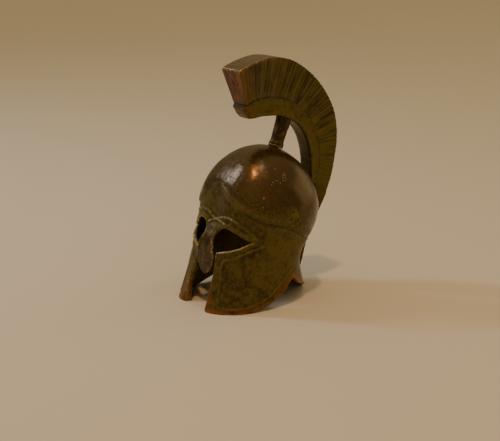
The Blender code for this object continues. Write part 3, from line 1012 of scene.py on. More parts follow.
    def add_wall(self, mesh: Mesh, flat: Array, raised: Array) -> None:
        """Add the inner skin and rounded rims between the skins.

        Args:
            mesh: the outer skin, whose vertices are moved to the raised places.
            flat: its lengths and rows.
            raised: its raised places.
        """
        outer = list(mesh.verts)
        copied = bmesh.ops.duplicate(mesh, geom=list(mesh.faces))
        twin = {v: copied["vert_map"][v] for v in outer}
        bmesh.ops.reverse_faces(
            mesh, faces=[f for f in copied["geom"] if isinstance(f, bmesh.types.BMFace)]
        )
        spots = self.flat_places(flat)
        eyes = [nearest_on_path(spots, path, closed=True)[0] for path in self.openings[1:]]
        thin = smooth_step(self.rim_taper, 0.0, np.minimum(*eyes))
        inner = self.wrap(flat[:, 0], flat[:, 1], self.surface.wall)
        plain = self.wrap(flat[:, 0], flat[:, 1], 0.0)
        inner = inner + (plain - inner) * (thin * (1 - self.rim_wall / self.surface.wall))[:, None]
        wear = mesh.verts.layers.float[Layer.WEAR.value]
        # The skin inside is painted an even, lighter olive, rubbed-pale and without grime, as
        # painted light inside the helmet.
        even = {Layer.WEAR: 0.34, Layer.GRIME: 0.0, Layer.TONE: 0.5}
        inside = [(mesh.verts.layers.float[layer.value], value) for layer, value in even.items()]
        for vertex, high, low in zip(outer, raised * MM, inner * MM):
            vertex.co = high
            twin[vertex].co = low
            for layer, value in inside:
                twin[vertex][layer] = value
        rim = [e for e in mesh.edges if e.is_boundary and all(v in twin for v in e.verts)]
        outward = self.rim_directions(rim)
        start = {v: v.co.copy() for v in outward}
        wall = {v: twin[v].co - v.co for v in outward}
        ring, root = rim, {v: v for v in outward}
        for k in range(1, self.rim_steps + 1):
            grown = bmesh.ops.extrude_edge_only(mesh, edges=ring)["geom"]
            fresh = [g for g in grown if isinstance(g, bmesh.types.BMVert)]
            ring = [g for g in grown if isinstance(g, bmesh.types.BMEdge)]
            ring = [e for e in ring if e.is_boundary]
            angle = math.pi * k / self.rim_steps
            follow = {}
            for vertex in fresh:
                beside = (edge.other_vert(vertex) for edge in vertex.link_edges)
                base = root[next(other for other in beside if other in root)]
                follow[vertex] = base
                vertex.co = (
                    start[base]
                    + wall[base] * (1 - math.cos(angle)) / 2
                    + outward[base] * (self.rim_bulge * MM * math.sin(angle))
                )
                vertex[wear] = base[wear] * (1 - 0.8 * k / self.rim_steps)
            root = follow
        bmesh.ops.remove_doubles(mesh, verts=mesh.verts, dist=WELD)

    @staticmethod
    def rim_directions(rim: list[bmesh.types.BMEdge]) -> dict[bmesh.types.BMVert, Vector]:
        """The direction out of the sheet at each vertex of its rim.

        Args:
            rim: the boundary edges.

        Returns:
            Unit directions in the surface, away from the sheet.
        """
        outward: dict[bmesh.types.BMVert, Vector] = {}
        for edge in rim:
            face = edge.link_faces[0]
            along = (edge.verts[1].co - edge.verts[0].co).normalized()
            away = along.cross(face.normal).normalized()
            middle = (edge.verts[0].co + edge.verts[1].co) / 2
            if away.dot(face.calc_center_median() - middle) > 0:
                away = -away
            for vertex in edge.verts:
                outward[vertex] = outward.get(vertex, Vector()) + away
        return {v: d.normalized() for v, d in outward.items()}


# angle, slant of the section, depth of the holder, depth of the hair, its outer half width
CREST_ROWS: Table = (
    (-24.0, 6.5, 4.3, 13.9, 5.9), (-21.5, 6.2, 5.7, 14.0, 5.9), (-12.0, 5.0, 6.7, 14.4, 5.9),
    (0.0, 3.0, 7.1, 15.0, 5.9), (12.0, 1.0, 6.9, 14.6, 5.9), (27.0, 0.0, 6.5, 13.0, 5.9),
    (44.0, 0.0, 5.7, 11.3, 5.9), (60.0, 0.0, 5.3, 9.9, 5.9), (79.0, 0.0, 5.0, 7.4, 5.9),
    (95.0, 0.0, 4.3, 5.6, 5.9), (105.0, 0.0, 3.5, 5.3, 5.9), (116.0, 0.0, 1.9, 5.5, 5.7),
)
# angle, depth of the grooves between the ribs, and how much darker the grooves are
RIB_DEPTHS: Table = (
    (-24.0, 0.12, 0.35), (-5.0, 0.14, 0.40), (12.0, 0.22, 0.55), (26.0, 0.34, 0.85),
    (62.0, 0.34, 0.85), (78.0, 0.24, 0.65), (104.0, 0.16, 0.45), (118.0, 0.10, 0.40),
)
# inner Y, inner height, outer Y, outer height, half width down the hair's tail behind the neck
TAIL_ROWS: Table = (
    (23.2, 35.6, 28.7, 35.0, 5.4), (23.2, 32.0, 27.1, 31.4, 5.1), (22.6, 28.6, 25.4, 28.2, 4.7),
    (21.0, 24.0, 23.4, 23.8, 4.2), (19.0, 19.0, 21.5, 18.8, 3.6), (18.2, 14.5, 20.5, 14.2, 3.1),
    (17.9, 10.5, 19.9, 10.2, 2.6), (17.9, 7.6, 19.4, 7.2, 2.0), (18.2, 5.9, 18.9, 5.7, 1.2),
)


@dataclass
class CrestArc:
    """The arc that the crest's pieces follow, on the plane of symmetry."""

    centre: tuple[float, float] = (1.3, 50.5)
    seam_radius: float = 25.5
    first_angle: float = -24.0
    last_angle: float = 116.0

    def __post_init__(self) -> None:
        """Fit the tables' curves."""
        self.slant = SmoothCurve(CREST_ROWS, 1)
        self.holder_depth = SmoothCurve(CREST_ROWS, 2)
        self.hair_depth = SmoothCurve(CREST_ROWS, 3)
        self.hair_half_width = SmoothCurve(CREST_ROWS, 4)

    def at(self, angle: Array, depth: Array) -> Array:
        """Places at a depth outside the seam.

        Args:
            angle: degrees round the arc, 0 at its top and rising to the rear.
            depth: millimetres out from the seam, negative inwards.

        Returns:
            Y and height in millimetres.
        """
        here = np.radians(angle)
        along = np.radians(angle + self.slant(angle))
        seam = np.stack([np.sin(here), np.cos(here)], -1) * self.seam_radius
        out = np.stack([np.sin(along), np.cos(along)], -1) * np.asarray(depth)[..., None]
        return np.array(self.centre) + seam + out


def rounded_sections(corners: Array, radii: Array, straight: Sequence[int], arc: int) -> Array:
    """Points round many four-cornered sections, with their corners rounded.

    Args:
        corners: section, corner, and its offset across and depth, in millimetres.
        radii: section and corner, each corner's radius.
        straight: steps from each corner to the next one.
        arc: steps round a corner.

    Returns:
        Section, point, and its offset across and depth. The first point comes again last.
    """
    count = corners.shape[1]
    starts, bows, ends = [], [], []
    for k in range(count):
        corner = corners[:, k]
        before = corners[:, k - 1] - corner
        after = corners[:, (k + 1) % count] - corner
        radius = radii[:, k : k + 1]
        starts.append(corner + before / np.linalg.norm(before, axis=1)[:, None] * radius)
        ends.append(corner + after / np.linalg.norm(after, axis=1)[:, None] * radius)
        bows.append(corner)
    points = []
    for k in range(count):
        for i in range(arc):
            t = i / arc
            points.append(
                starts[k] * (1 - t) ** 2 + bows[k] * 2 * t * (1 - t) + ends[k] * t * t
            )
        follow = starts[(k + 1) % count]
        for i in range(straight[k]):
            points.append(ends[k] + (follow - ends[k]) * i / straight[k])
    points.append(points[0])
    return np.stack(points, 1)


@dataclass
class SweptSection:
    """One station of a crest piece: a section set across the plane of symmetry."""

    inner: Array
    outer: Array
    half_in: float
    half_out: float
    station: float
    shrink: float = 1.0


@dataclass
class CrestHolder:
    """The smooth band under the hair that stands clear of the crown on the post."""

    arc: CrestArc
    half_width: float = 3.7
    joint: float = 0.02
    corner: float = 1.15
    steps: int = 200
    nose_reach: float = 1.3
    nose_angle: float = -19.5
    cap_steps: int = 5
    edge_radius: float = 0.8

    def stations(self) -> list[SweptSection]:
        """Lay out the band's sections.

        Returns:
            The sections from the front end to the thin rear end.
        """
        arc = self.arc
        span = arc.last_angle - arc.first_angle
        out = []
        for i in range(self.steps + 1):
            angle = arc.first_angle + span * i / self.steps
            depth = float(arc.holder_depth(angle))
            ahead = np.array([-math.cos(math.radians(angle)), math.sin(math.radians(angle))])
            reach = self.nose_reach * float(smooth_step(self.nose_angle, arc.first_angle, angle))
            out.append(
                SweptSection(
                    inner=arc.at(np.array(angle), np.array(-depth)) + ahead * reach * 0.3,
                    outer=arc.at(np.array(angle), np.array(-self.joint)) + ahead * reach,
                    half_in=self.half_width,
                    half_out=self.half_width,
                    station=angle,
                )
            )
        return out

    def build(self, material: bpy.types.Material) -> bpy.types.Object:
        """Sweep the band and soften it.

        Args:
            material: its finish.

        Returns:
            The finished piece.
        """
        sections = capped(self.stations(), self.cap_steps, self.edge_radius)
        mesh = swept_mesh(sections, self.corner, 0.1, (10, 16, 10, 16), 5)
        places, facing = positions(mesh), normals(mesh)
        share = layer_values(mesh, "share")
        station = layer_values(mesh, "station")
        flank = smooth_step(0.5, 0.9, np.abs(facing[:, 0]))
        hollow = -0.16 * bump(share - 0.55, 0.5) * flank
        lumps = 0.05 * wobble(places, 5.0, 0.7) + 0.02 * wobble(places, 1.9, 2.2)
        set_positions(mesh, places + facing * (hollow + lumps)[:, None] + DATUM_MM)
        under = smooth_step(0.25, 0.0, share)
        front_seam = smooth_step(36.0, 8.0, station)
        front_end = smooth_step(-17.0, -23.0, station)
        facts = {
            Layer.WEAR: 0.35 * bump(share - 0.14, 0.1) * (0.5 + 0.5 * wobble(places, 4.0, 2.0)),
            # Painted shade: darker under the overhanging hair, most at the front, and under the
            # band towards its rear.
            Layer.GRIME: smooth_step(0.86, 1.0, share) * (0.25 + 0.65 * front_seam)
            + 0.55 * under * smooth_step(48.0, 66.0, station),
            # Copper at the front end, and a painted warm reflection under the band near its
            # middle.
            Layer.STAIN: 0.4 * front_end + 0.2 * under * bump(station - 42.0, 14.0),
            # Darker at the front end, lighter to the rear, and painted reflection: lighter under
            # the band near its middle.
            Layer.TONE: 0.12 + 0.1 * smooth_step(70.0, 100.0, station) - 0.2 * front_end
            + 0.25 * under * bump(station - 36.0, 16.0),
        }
        set_facts(mesh, facts)
        set_flow(mesh, places)
        return finished_piece(
            mesh, "crest_holder_band", "crest_holder", material
        )


def capped(sections: list[SweptSection], steps: int, edge: float) -> list[SweptSection]:
    """Close both ends of a sweep with caps whose edges are rounded.

    Args:
        sections: the stations.
        steps: rings across each cap's face.
        edge: radius of the cap's edge in millimetres.

    Returns:
        The stations with the caps' rings at both ends.
    """

    def cap(end: SweptSection, inside: SweptSection) -> list[SweptSection]:
        """Round off one end.

        Args:
            end: the end's section.
            inside: the section beside it.

        Returns:
            The rings from the rim of the end to the middle of its face.
        """
        ahead = (end.inner + end.outer - inside.inner - inside.outer) / 2
        ahead = ahead / np.linalg.norm(ahead)
        depth = float(np.linalg.norm(end.outer - end.inner))
        small = min(depth, 2 * end.half_in) / 2
        rings = []
        for k in range(4):
            angle = math.pi / 2 * k / 3
            drop = edge * (1 - math.sin(angle))
            rings.append((drop, 1 - edge * (1 - math.cos(angle)) / small))
        rings += [(0.0, rings[-1][1] * (1 - k / steps)) for k in range(1, steps + 1)]
        return [
            SweptSection(
                inner=end.inner - ahead * drop,
                outer=end.outer - ahead * drop,
                half_in=end.half_in,
                half_out=end.half_out,
                station=end.station,
                shrink=shrink,
            )
            for drop, shrink in rings
        ]

    front = cap(sections[0], sections[1])
    rear = cap(sections[-1], sections[-2])
    travel = np.cumsum(
        [0.0]
        + [
            float(np.linalg.norm(b.inner + b.outer - a.inner - a.outer)) / 2
            for a, b in zip(sections, sections[1:])
        ]
    )
    body = [
        s
        for s, t in zip(sections, travel)
        if edge * 1.05 < t < travel[-1] - edge * 1.05
    ]
    return front[::-1] + body + rear


def swept_mesh(
    sections: list[SweptSection],
    corner_in: float,
    corner_out: float,
    straight: Sequence[int],
    arc: int,
) -> Mesh:
    """Sweep rounded four-cornered sections into one closed skin.

    Args:
        sections: the stations, whose end ones shrink to a point.
        corner_in: corner radius at the inner side.
        corner_out: corner radius at the outer side.
        straight: steps along the inner side, up a flank, along the outer side, down a flank.
        arc: steps round a corner.

    Returns:
        The bmesh, with float layers station, and share of the depth from the inner side.
    """
    inner, outer, half_in, half_out, station, shrink = (
        np.array([getattr(section, field.name) for section in sections])
        for field in fields(SweptSection)
    )
    depth = np.linalg.norm(outer - inner, axis=1)
    zero = np.zeros_like(depth)
    corners = np.stack(
        [
            np.stack([half_in, zero], 1),
            np.stack([half_out, depth], 1),
            np.stack([-half_out, depth], 1),
            np.stack([-half_in, zero], 1),
        ],
        1,
    )
    low = np.minimum(corner_in, depth / 3)
    high = np.minimum(corner_out, depth / 3)
    order = (straight[1], straight[2], straight[3], straight[0])
    ring = rounded_sections(corners, np.stack([low, high, high, low], 1), order, arc)
    middle = np.stack([zero, depth / 2], 1)[:, None]
    ring = middle + (ring - middle) * shrink[:, None, None]
    along = (outer - inner) / depth[:, None]
    mesh, column, row = grid_mesh(ring.shape[1] - 1, ring.shape[0] - 1)
    local = ring[row, column]
    flat = inner[row] + along[row] * local[:, 1:2]
    set_positions(mesh, np.stack([local[:, 0], flat[:, 0], flat[:, 1]], 1))
    set_layer(mesh, "station", station[row])
    set_layer(mesh, "share", (ring[:, :, 1] / depth[:, None])[row, column])
    weld(mesh)
    return mesh


@dataclass
class CrestPlume:
    """The solid cast hair of the crest, ribbed across its arc, with a tail down to the nape."""

    arc: CrestArc
    seam_half_width: float = 3.72
    rib_count: int = 58
    steps_per_rib: int = 8
    strand_width: float = 0.75
    strand_depth: float = 0.16
    cap_steps: int = 12
    edge_radius: float = 0.22
    # Stations round the arc are angles, and those down the tail are this plus 0 to 100.
    tail_start: float = 200.0

    def stations(self) -> list[SweptSection]:
        """Lay out the hair's sections.

        Returns:
            The sections round the arc and then down the tail.
        """
        arc = self.arc
        first, last = arc.first_angle, arc.last_angle
        count = self.rib_count * self.steps_per_rib
        out = []
        for i in range(count + 1):
            angle = first + (last - first) * i / count
            out.append(
                SweptSection(
                    inner=arc.at(np.array(angle), np.array(0.0)),
                    outer=arc.at(np.array(angle), np.array(float(arc.hair_depth(angle)))),
                    half_in=self.seam_half_width,
                    half_out=float(arc.hair_half_width(angle)) - 0.02,
                    station=angle,
                )
            )
        end = out[-1]
        start = (end.inner[0], end.inner[1], end.outer[0], end.outer[1], end.half_out)
        line = rounded_path(np.array((start, *TAIL_ROWS)), closed=False, steps=8)
        for i, row in enumerate(line[1:]):
            narrow = 0.8 - (0.8 - end.half_in / end.half_out) * max(0.0, 1 - i / 12)
            out.append(
                SweptSection(
                    inner=row[0:2],
                    outer=row[2:4],
                    half_in=float(row[4]) * narrow,
                    half_out=float(row[4]),
                    station=self.tail_start + 100.0 * (i + 1) / (len(line) - 1),
                )
            )
        return out

    def ribs(self, station: Array, share: Array, side: Array) -> tuple[Array, Array, Array]:
        """Depth of the grooves between the ribs, and what they do to the finish.

        Args:
            station: angle round the arc.
            share: share of the depth from the seam outwards.
            side: sign of X, since the two flanks were worked apart.

        Returns:
            Groove depths in millimetres, how deep in a groove each place is from 0 to 1, and
            each rib's own tone.
        """
        arc = self.arc
        span = arc.last_angle - arc.first_angle
        phase = (station - arc.first_angle) / span * self.rib_count
        phase = phase + 0.22 * np.sin(phase * 1.7 + side) + 0.15 * np.sin(phase * 0.61 + 2 * side)
        phase = phase + 0.25 * (share - 0.5) * np.sin(phase * 0.9 + 3.0 + side)
        valley = 0.5 - 0.5 * np.cos(2 * math.pi * phase)
        number = np.floor(phase + 0.5)
        uneven = 0.6 + 0.4 * np.sin(number * 2.4 + 1.3 * side)
        start = 0.1 + 0.1 * np.sin(number * 3.7 + side)
        reach = smooth_step(start, start + 0.2, share)
        depth = SmoothCurve(RIB_DEPTHS)(station) * uneven * (0.1 + 0.9 * reach)
        tone = 0.5 * np.sin(number * 1.9 + side) + 0.5 * np.sin(number * 0.7 + 1.0)
        return depth * valley**1.8, valley**1.8 * uneven * reach, tone

    def build(self, material: bpy.types.Material) -> bpy.types.Object:
        """Sweep the hair, cut its ribs and strands, and mark where it is worn.

        Args:
            material: its finish.

        Returns:
            The finished piece.
        """
        sections = capped(self.stations(), self.cap_steps, self.edge_radius)
        mesh = swept_mesh(sections, 0.08, 0.4, (8, 16, 14, 16), 4)
        places, facing = positions(mesh), normals(mesh)
        share = layer_values(mesh, "share")
        station = layer_values(mesh, "station")
        x, across = places[:, 0], np.abs(places[:, 0])
        side = np.where(x >= 0, 1.0, -1.0)
        tail = smooth_step(102.0, 116.0, station)
        front = smooth_step(-0.55, -0.85, facing[:, 1]) * (station < -20.0)
        flank = (1 - tail) * (1 - front)
        groove, valley, tone = self.ribs(np.minimum(station, 118.0), share, side)
        top = smooth_step(0.93, 0.99, share) * (1 - front) * smooth_step(5.9, 5.3, across)
        strand_place = share * 7.0 + across / self.strand_width * (share > 0.9)
        strand = 0.5 + 0.5 * np.cos(2 * math.pi * strand_place + 0.4 * side)
        comb = 0.5 + 0.5 * np.cos(2 * math.pi * (x / 0.62 + 0.35 * np.sin(x * 2.1)))
        sink = groove * flank * (1 - 0.8 * top)
        sink = sink + self.strand_depth * (1 - strand) * tail
        sink = sink + front * (0.03 + 0.15 * (1 - comb)) * smooth_step(5.8, 5.2, across)
        lumps = 0.03 * wobble(places, 4.0, 3.1) + 0.02 * wobble(places, 1.3, 1.1)
        set_positions(mesh, places + facing * (lumps - 0.035 - sink)[:, None] + DATUM_MM)
        contrast = SmoothCurve(RIB_DEPTHS, 2)(np.minimum(station, 118.0))
        edge = bump(share - 0.985, 0.05) * smooth_step(4.6, 5.6, across)
        lip = bump(share - 0.995, 0.05) * smooth_step(-22.0, -23.6, station)
        front_edge = smooth_step(14.0, -16.0, station)
        strip = front * bump(x - 4.5, 2.2 - 0.9 * (1 - share))
        facts = {
            Layer.WEAR: 0.12 * (1 - valley) * flank
            + 0.45 * edge * (0.35 + 0.65 * front_edge)
            # Wear and a painted glint on the top front edge.
            + 1.3 * lip
            + 0.2 * strand * tail
            + 0.08 * strip
            + 0.12 * comb * front,
            # Darker in the rib and strand grooves and at the hair's foot, and painted shade over
            # the front face.
            Layer.GRIME: contrast * valley * flank * (1 - top)
            + 0.4 * (1 - strand) * tail
            + 0.75 * smooth_step(0.06, 0.0, share) * (1 - tail) * smooth_step(40.0, 5.0, station)
            + (0.3 + 0.7 * (1 - comb)) * front * (1 - strip),
            Layer.POLISH: 0.9 * top * (1 - tail) + 0.3 * front,
            Layer.STAIN: 1.1 * strip
            + 0.85 * front * (1 - strip)
            + 0.8 * edge * front_edge
            + 0.3 * bump(station + 22.0, 9.0) * flank * (1 - top)
            + 0.8 * tail * smooth_step(215.0, 260.0, station),
            # Each rib's own tone, and painted light: lighter towards the rear and on the top,
            # darker over the front face.
            Layer.TONE: (0.16 * tone + 0.3 * smooth_step(35.0, 95.0, station)) * flank
            + 0.3 * top
            - 0.35 * front * (1 - strip),
        }
        run = np.radians(np.minimum(station, 116.0)) * (self.arc.seam_radius + 7.0)
        down = np.clip(station - self.tail_start, 0.0, None) * 0.32
        depth = share * 12.0
        along = np.stack([run + x * front, depth / 9, x * (1 - front) / 9], 1)
        hanging = np.stack([x * 1.5, depth, (run + down) / 9], 1)
        set_facts(mesh, facts)
        set_flow(mesh, np.where((station > self.tail_start)[:, None], hanging, along))
        return finished_piece(mesh, "crest_plume_hair", "crest_plume", material)


@dataclass
class CrestPost:
    """The stout leaning post between the crown and the crest's band."""

    surface: HelmetSurface
    foot: tuple[float, float] = (0.0, 7.6)
    lean: float = 20.5
    foot_radius: float = 2.45
    top_radius: float = 3.0
    length: float = 12.2
    waist: float = 0.42
    waist_share: float = 0.1
    shaft_steps: int = 21
    ring_radius: float = 2.9
    ring_height: float = 0.8
    ring_edge: float = 0.25
    ring_steps: int = 6
    joint: float = 0.02
    sides: int = 72

    def profile(self) -> list[tuple[float, float]]:
        """Lay out the profile that the post is turned from.

        Returns:
            Radius and height from the foot's underside to the top.
        """
        ring, edge = self.ring_radius - self.ring_edge, self.ring_edge
        lower = [(0.0, self.joint), (ring, self.joint)]
        for k in range(self.ring_steps + 1):
            angle = math.pi * (k / self.ring_steps - 0.5)
            middle = (self.joint + self.ring_height + 0.1) / 2
            half = (self.ring_height + 0.1 - self.joint) / 2
            lower.append((ring + edge * math.cos(angle), middle + half * math.sin(angle)))
        shaft = []
        for k in range(self.shaft_steps + 1):
            t = k / self.shaft_steps
            waist = self.waist * math.exp(-((t / self.waist_share) ** 2))
            radius = self.foot_radius + (self.top_radius - self.foot_radius) * t + waist
            shaft.append((radius, self.ring_height + 0.12 + (self.length - 1.0) * t))
        top = self.length
        return lower + shaft + [(self.top_radius - 0.15, top), (0.0, top)]

    def build(self, material: bpy.types.Material) -> bpy.types.Object:
        """Turn the post and set it square on the crown.

        Args:
            material: its finish.

        Returns:
            The finished piece.
        """
        mesh = bmesh.new()
        points = [mesh.verts.new((r * MM, 0.0, h * MM)) for r, h in self.profile()]
        line = [mesh.edges.new(pair) for pair in zip(points, points[1:])]
        bmesh.ops.spin(
            mesh,
            geom=points + line,
            cent=(0.0, 0.0, 0.0),
            axis=(0.0, 0.0, 1.0),
            angle=2 * math.pi,
            steps=self.sides,
            use_merge=True,
        )
        weld(mesh)
        places, facing = positions(mesh), normals(mesh)
        height = places[:, 2]
        radius = np.hypot(places[:, 0], places[:, 1])
        lumps = 0.05 * wobble(places, 3.2, 5.0) * smooth_step(0.5, 2.0, radius)
        places = places + facing * lumps[:, None]
        crown = self.surface
        share = (self.foot[1] - crown.crown_pole) / (crown.crown_rear - crown.crown_pole)
        rise = (1 - share**crown.crown_fullness) ** (1 / crown.crown_fullness)
        base = crown.crown_equator + (crown.crown_top - crown.crown_equator) * rise
        turn = Matrix.Rotation(math.radians(-self.lean), 3, "X")
        places = places @ np.array(turn).T + (self.foot[0], self.foot[1], base) + DATUM_MM
        set_positions(mesh, places)
        ring = smooth_step(1.3, 0.8, height)
        facts = {
            Layer.WEAR: 0.4 * ring * smooth_step(2.2, 2.6, radius),
            # A dark line over the ring, and painted shade: darker up the shaft towards the band
            # above.
            Layer.GRIME: 0.7 * bump(height - 1.5, 0.6) + 0.35 * smooth_step(1.5, 11.0, height),
            Layer.TONE: -0.25 * (1 - ring),
        }
        set_facts(mesh, facts)
        set_flow(mesh, places)
        return finished_piece(mesh, "crest_post_turned", "crest_post", material)


def linear(hex_colour: str) -> tuple[float, float, float, float]:
    """Turn an sRGB colour into a linear one.

    Args:
        hex_colour: a hash sign and six digits, such as #443210.

    Returns:
        Linear red, green and blue, and an alpha of 1.
    """
    levels = [int(hex_colour[i : i + 2], 16) / 255 for i in (1, 3, 5)]
    return (
        *(v / 12.92 if v <= 0.04045 else ((v + 0.055) / 1.055) ** 2.4 for v in levels),
        1.0,
    )


def add_node(
    tree: bpy.types.NodeTree, kind: str, inputs: dict | None = None, **settings: object
) -> bpy.types.Node:
    """Add a shader node.

    Args:
        tree: the node tree.
        kind: the node's type, without its prefix ShaderNode.
        inputs: socket name or number to a value, or to the output that it is linked from.
        settings: the node's own settings.

    Returns:
        The node.
    """
    node = tree.nodes.new("ShaderNode" + kind)
    for name, value in settings.items():
        setattr(node, name, value)
    for name, value in (inputs or {}).items():
        if isinstance(value, bpy.types.NodeSocket):
            tree.links.new(value, node.inputs[name])
        else:
            node.inputs[name].default_value = value
    return node


def fine(size_mm: float) -> float:
    """The scale of a noise on Object coordinates whose swells are this many millimetres."""
    return 1000.0 / size_mm


@dataclass(frozen=True)
class PatinatedBronze:
    """Cast bronze with a natural brown patina, waxed and handled.

    To the eye it is a dark olive brown with a low, broken shine, darker in its recesses, partly as
    painted shade, rubbed to a paler olive on its ridges, with red copper showing at its hem and
    edges, and in places lit or shaded by painted light.
    """

    name: str
    dark: str = "#3a2e0e"
    olive: str = "#5b5214"
    brown: str = "#67521e"
    smooth: str = "#453214"
    copper: str = "#824718"
    # Olive and pale colours of rubbed patina, which also paint light, sheen and glints.
    worn: str = "#8a7d50"
    rubbed: str = "#d9c9a4"
    soil_and_shade: str = "#171006"
    metallic: float = 0.6
    coat: float = 0.12
    coat_gloss: float = 0.14
    cast_gloss: tuple[float, float] = (0.36, 0.56)
    polished_gloss: tuple[float, float] = (0.14, 0.28)
    cloud_mm: float = 6.0
    blotch_mm: float = 1.7
    grain_mm: float = 0.62
    pit_mm: float = 1.0
    depth_mm: float = 0.06
    flecks: tuple[tuple[float, float, float, float], ...] = ()

    def make(self) -> bpy.types.Material:
        """Build the material.

        Returns:
            The material with its nodes.
        """
        material = bpy.data.materials.new(self.name)
        material.use_nodes = True
        tree = material.node_tree
        tree.nodes.clear()
        here = add_node(tree, "TexCoord").outputs["Object"]
        flow = add_node(tree, "Attribute", attribute_name=FLOW).outputs["Vector"]
        facts = {
            layer: add_node(tree, "Attribute", attribute_name=layer.value).outputs["Fac"]
            for layer in Layer
        }
        # Clouds of lighter and darker patina some six millimetres across, blotches under two
        # millimetres where it is broken, and the grain of the skin, drawn coarse enough to show.
        # The blotches and the grain are drawn out along the hair.
        noises = (
            (here, self.cloud_mm, 5.0, 0.6),
            (flow, self.blotch_mm, 6.0, 0.65),
            (flow, self.grain_mm, 1.0, 0.6),
        )
        cloud, blotch, grain = (
            add_node(
                tree,
                "TexNoise",
                {"Vector": where, "Scale": fine(size), "Detail": detail, "Roughness": rough},
            ).outputs["Fac"]
            for where, size, detail, rough in noises
        )
        # A piece's own tone moves its clouds.
        cloud = add_node(
            tree, "Math", {0: cloud, 1: facts[Layer.TONE]}, operation="ADD"
        ).outputs[0]
        # Casting pits a few tenths of a millimetre wide.
        pits = add_node(
            tree,
            "TexVoronoi",
            {"Vector": here, "Scale": fine(self.pit_mm), "Randomness": 1.0},
        ).outputs["Distance"]
        flecks = 0.0
        for x, y, z, radius in self.flecks:
            away = add_node(
                tree,
                "VectorMath",
                {0: here, 1: (x * MM, y * MM, z * MM)},
                operation="DISTANCE",
            ).outputs["Value"]
            fleck = add_node(
                tree, "MapRange", {0: away, 1: radius * MM, 2: 0.4 * radius * MM}
            ).outputs[0]
            flecks = add_node(
                tree, "Math", {0: flecks, 1: fleck}, operation="MAXIMUM"
            ).outputs[0]

        # Pale specks where the patina is rubbed, and where light and glints are painted.
        specks = add_node(
            tree, "MapRange", {0: grain, 1: 0.50, 2: 0.62, 4: facts[Layer.WEAR]}
        ).outputs[0]
        scabs = add_node(
            tree, "MapRange", {0: grain, 1: 0.54, 2: 0.66, 4: facts[Layer.CORRODED]}
        ).outputs[0]
        # Where the skin is corroded, dark creases wind between its blotches.
        creases = add_node(tree, "Math", {0: blotch, 1: 0.5}, operation="SUBTRACT").outputs[0]
        creases = add_node(tree, "Math", {0: creases}, operation="ABSOLUTE").outputs[0]
        # Each coat of colour: the pattern that breaks it, the pattern's range, how much, and what.
        coats = (
            (cloud, 0.36, 0.64, 1.0, self.olive),
            (blotch, 0.48, 0.66, 1.0, self.brown),
            (blotch, 0.46, 0.34, 0.5, self.soil_and_shade),
            (cloud, 0.15, 0.62, facts[Layer.POLISH], self.smooth),
            (blotch, 0.62, 0.46, facts[Layer.CORRODED], self.olive),
            # Copper stain with the painted warm sheen, and rubbed wear with the painted light.
            (blotch, 0.30, 0.58, facts[Layer.STAIN], self.copper),
            (blotch, 0.28, 0.62, facts[Layer.WEAR], self.worn),
            # Grime and painted shade, darkened towards the soil colour.
            (blotch, 0.75, 0.35, facts[Layer.GRIME], self.soil_and_shade),
            (scabs, 0.0, 0.9, 0.7, self.worn),
            (creases, 0.045, 0.0, facts[Layer.CORRODED], self.soil_and_shade),
            (specks, 0.35, 0.85, 1.0, self.rubbed),
            (flecks, 0.0, 1.0, 0.3, self.rubbed),
        )
        colour = linear(self.dark)
        for pattern, low, high, most, paint in coats:
            share = add_node(
                tree, "MapRange", {0: pattern, 1: low, 2: high, 4: most}
            ).outputs[0]
            colour = add_node(
                tree, "Mix", {0: share, 6: colour, 7: linear(paint)}, data_type="RGBA"
            ).outputs[2]

        ends = [
            add_node(
                tree, "MapRange", {0: facts[Layer.POLISH], 3: cast, 4: polished}
            ).outputs[0]
            for cast, polished in zip(self.cast_gloss, self.polished_gloss)
        ]
        gloss = add_node(
            tree, "MapRange", {0: blotch, 1: 0.35, 2: 0.68, 3: ends[0], 4: ends[1]}
        ).outputs[0]
        gloss = add_node(
            tree, "Math", {0: facts[Layer.CORRODED], 1: 0.2, 2: gloss},
            operation="MULTIPLY_ADD",
        ).outputs[0]
        # Pits only where the blotches let them, so that smooth stretches remain.
        pitted = add_node(tree, "MapRange", {0: blotch, 1: 0.42, 2: 0.60, 4: -1.0}).outputs[0]
        pitted = add_node(tree, "MapRange", {0: pits, 1: 0.30, 2: 0.0, 4: pitted}).outputs[0]
        relief = add_node(
            tree, "Math", {0: grain, 1: 1.05, 2: pitted}, operation="MULTIPLY_ADD"
        ).outputs[0]
        relief = add_node(
            tree, "Math", {0: blotch, 1: 0.9, 2: relief}, operation="MULTIPLY_ADD"
        ).outputs[0]
        bumped = add_node(
            tree, "Bump", {"Height": relief, "Strength": 1.0, "Distance": self.depth_mm * MM}
        ).outputs[0]
        surface = {
            "Base Color": colour,
            "Metallic": self.metallic,
            "Roughness": gloss,
            "Coat Weight": self.coat,
            "Coat Roughness": self.coat_gloss,
            "Normal": bumped,
            "Coat Normal": bumped,
        }
        shader = add_node(tree, "BsdfPrincipled", surface)
        add_node(tree, "OutputMaterial", {"Surface": shader.outputs[0]})
        return material


# turn, height and radius in millimetres of the small rubbed marks on the crown
CROWN_MARKS: Table = (
    (89.6, 47.2, 0.35), (89.9, 48.1, 0.35), (90.4, 48.9, 0.35), (92.1, 49.3, 0.35),
    (92.3, 48.6, 0.35), (91.4, 47.8, 0.35), (90.6, 47.0, 0.30), (78.3, 46.4, 0.30),
    (80.4, 47.1, 0.35), (84.0, 47.5, 0.30), (85.9, 47.3, 0.30), (87.6, 46.5, 0.30),
    (66.6, 42.2, 0.60), (65.2, 39.1, 0.40), (7.2, 43.4, 0.30), (74.2, 50.7, 0.30),
    (87.2, 51.2, 0.30),
)


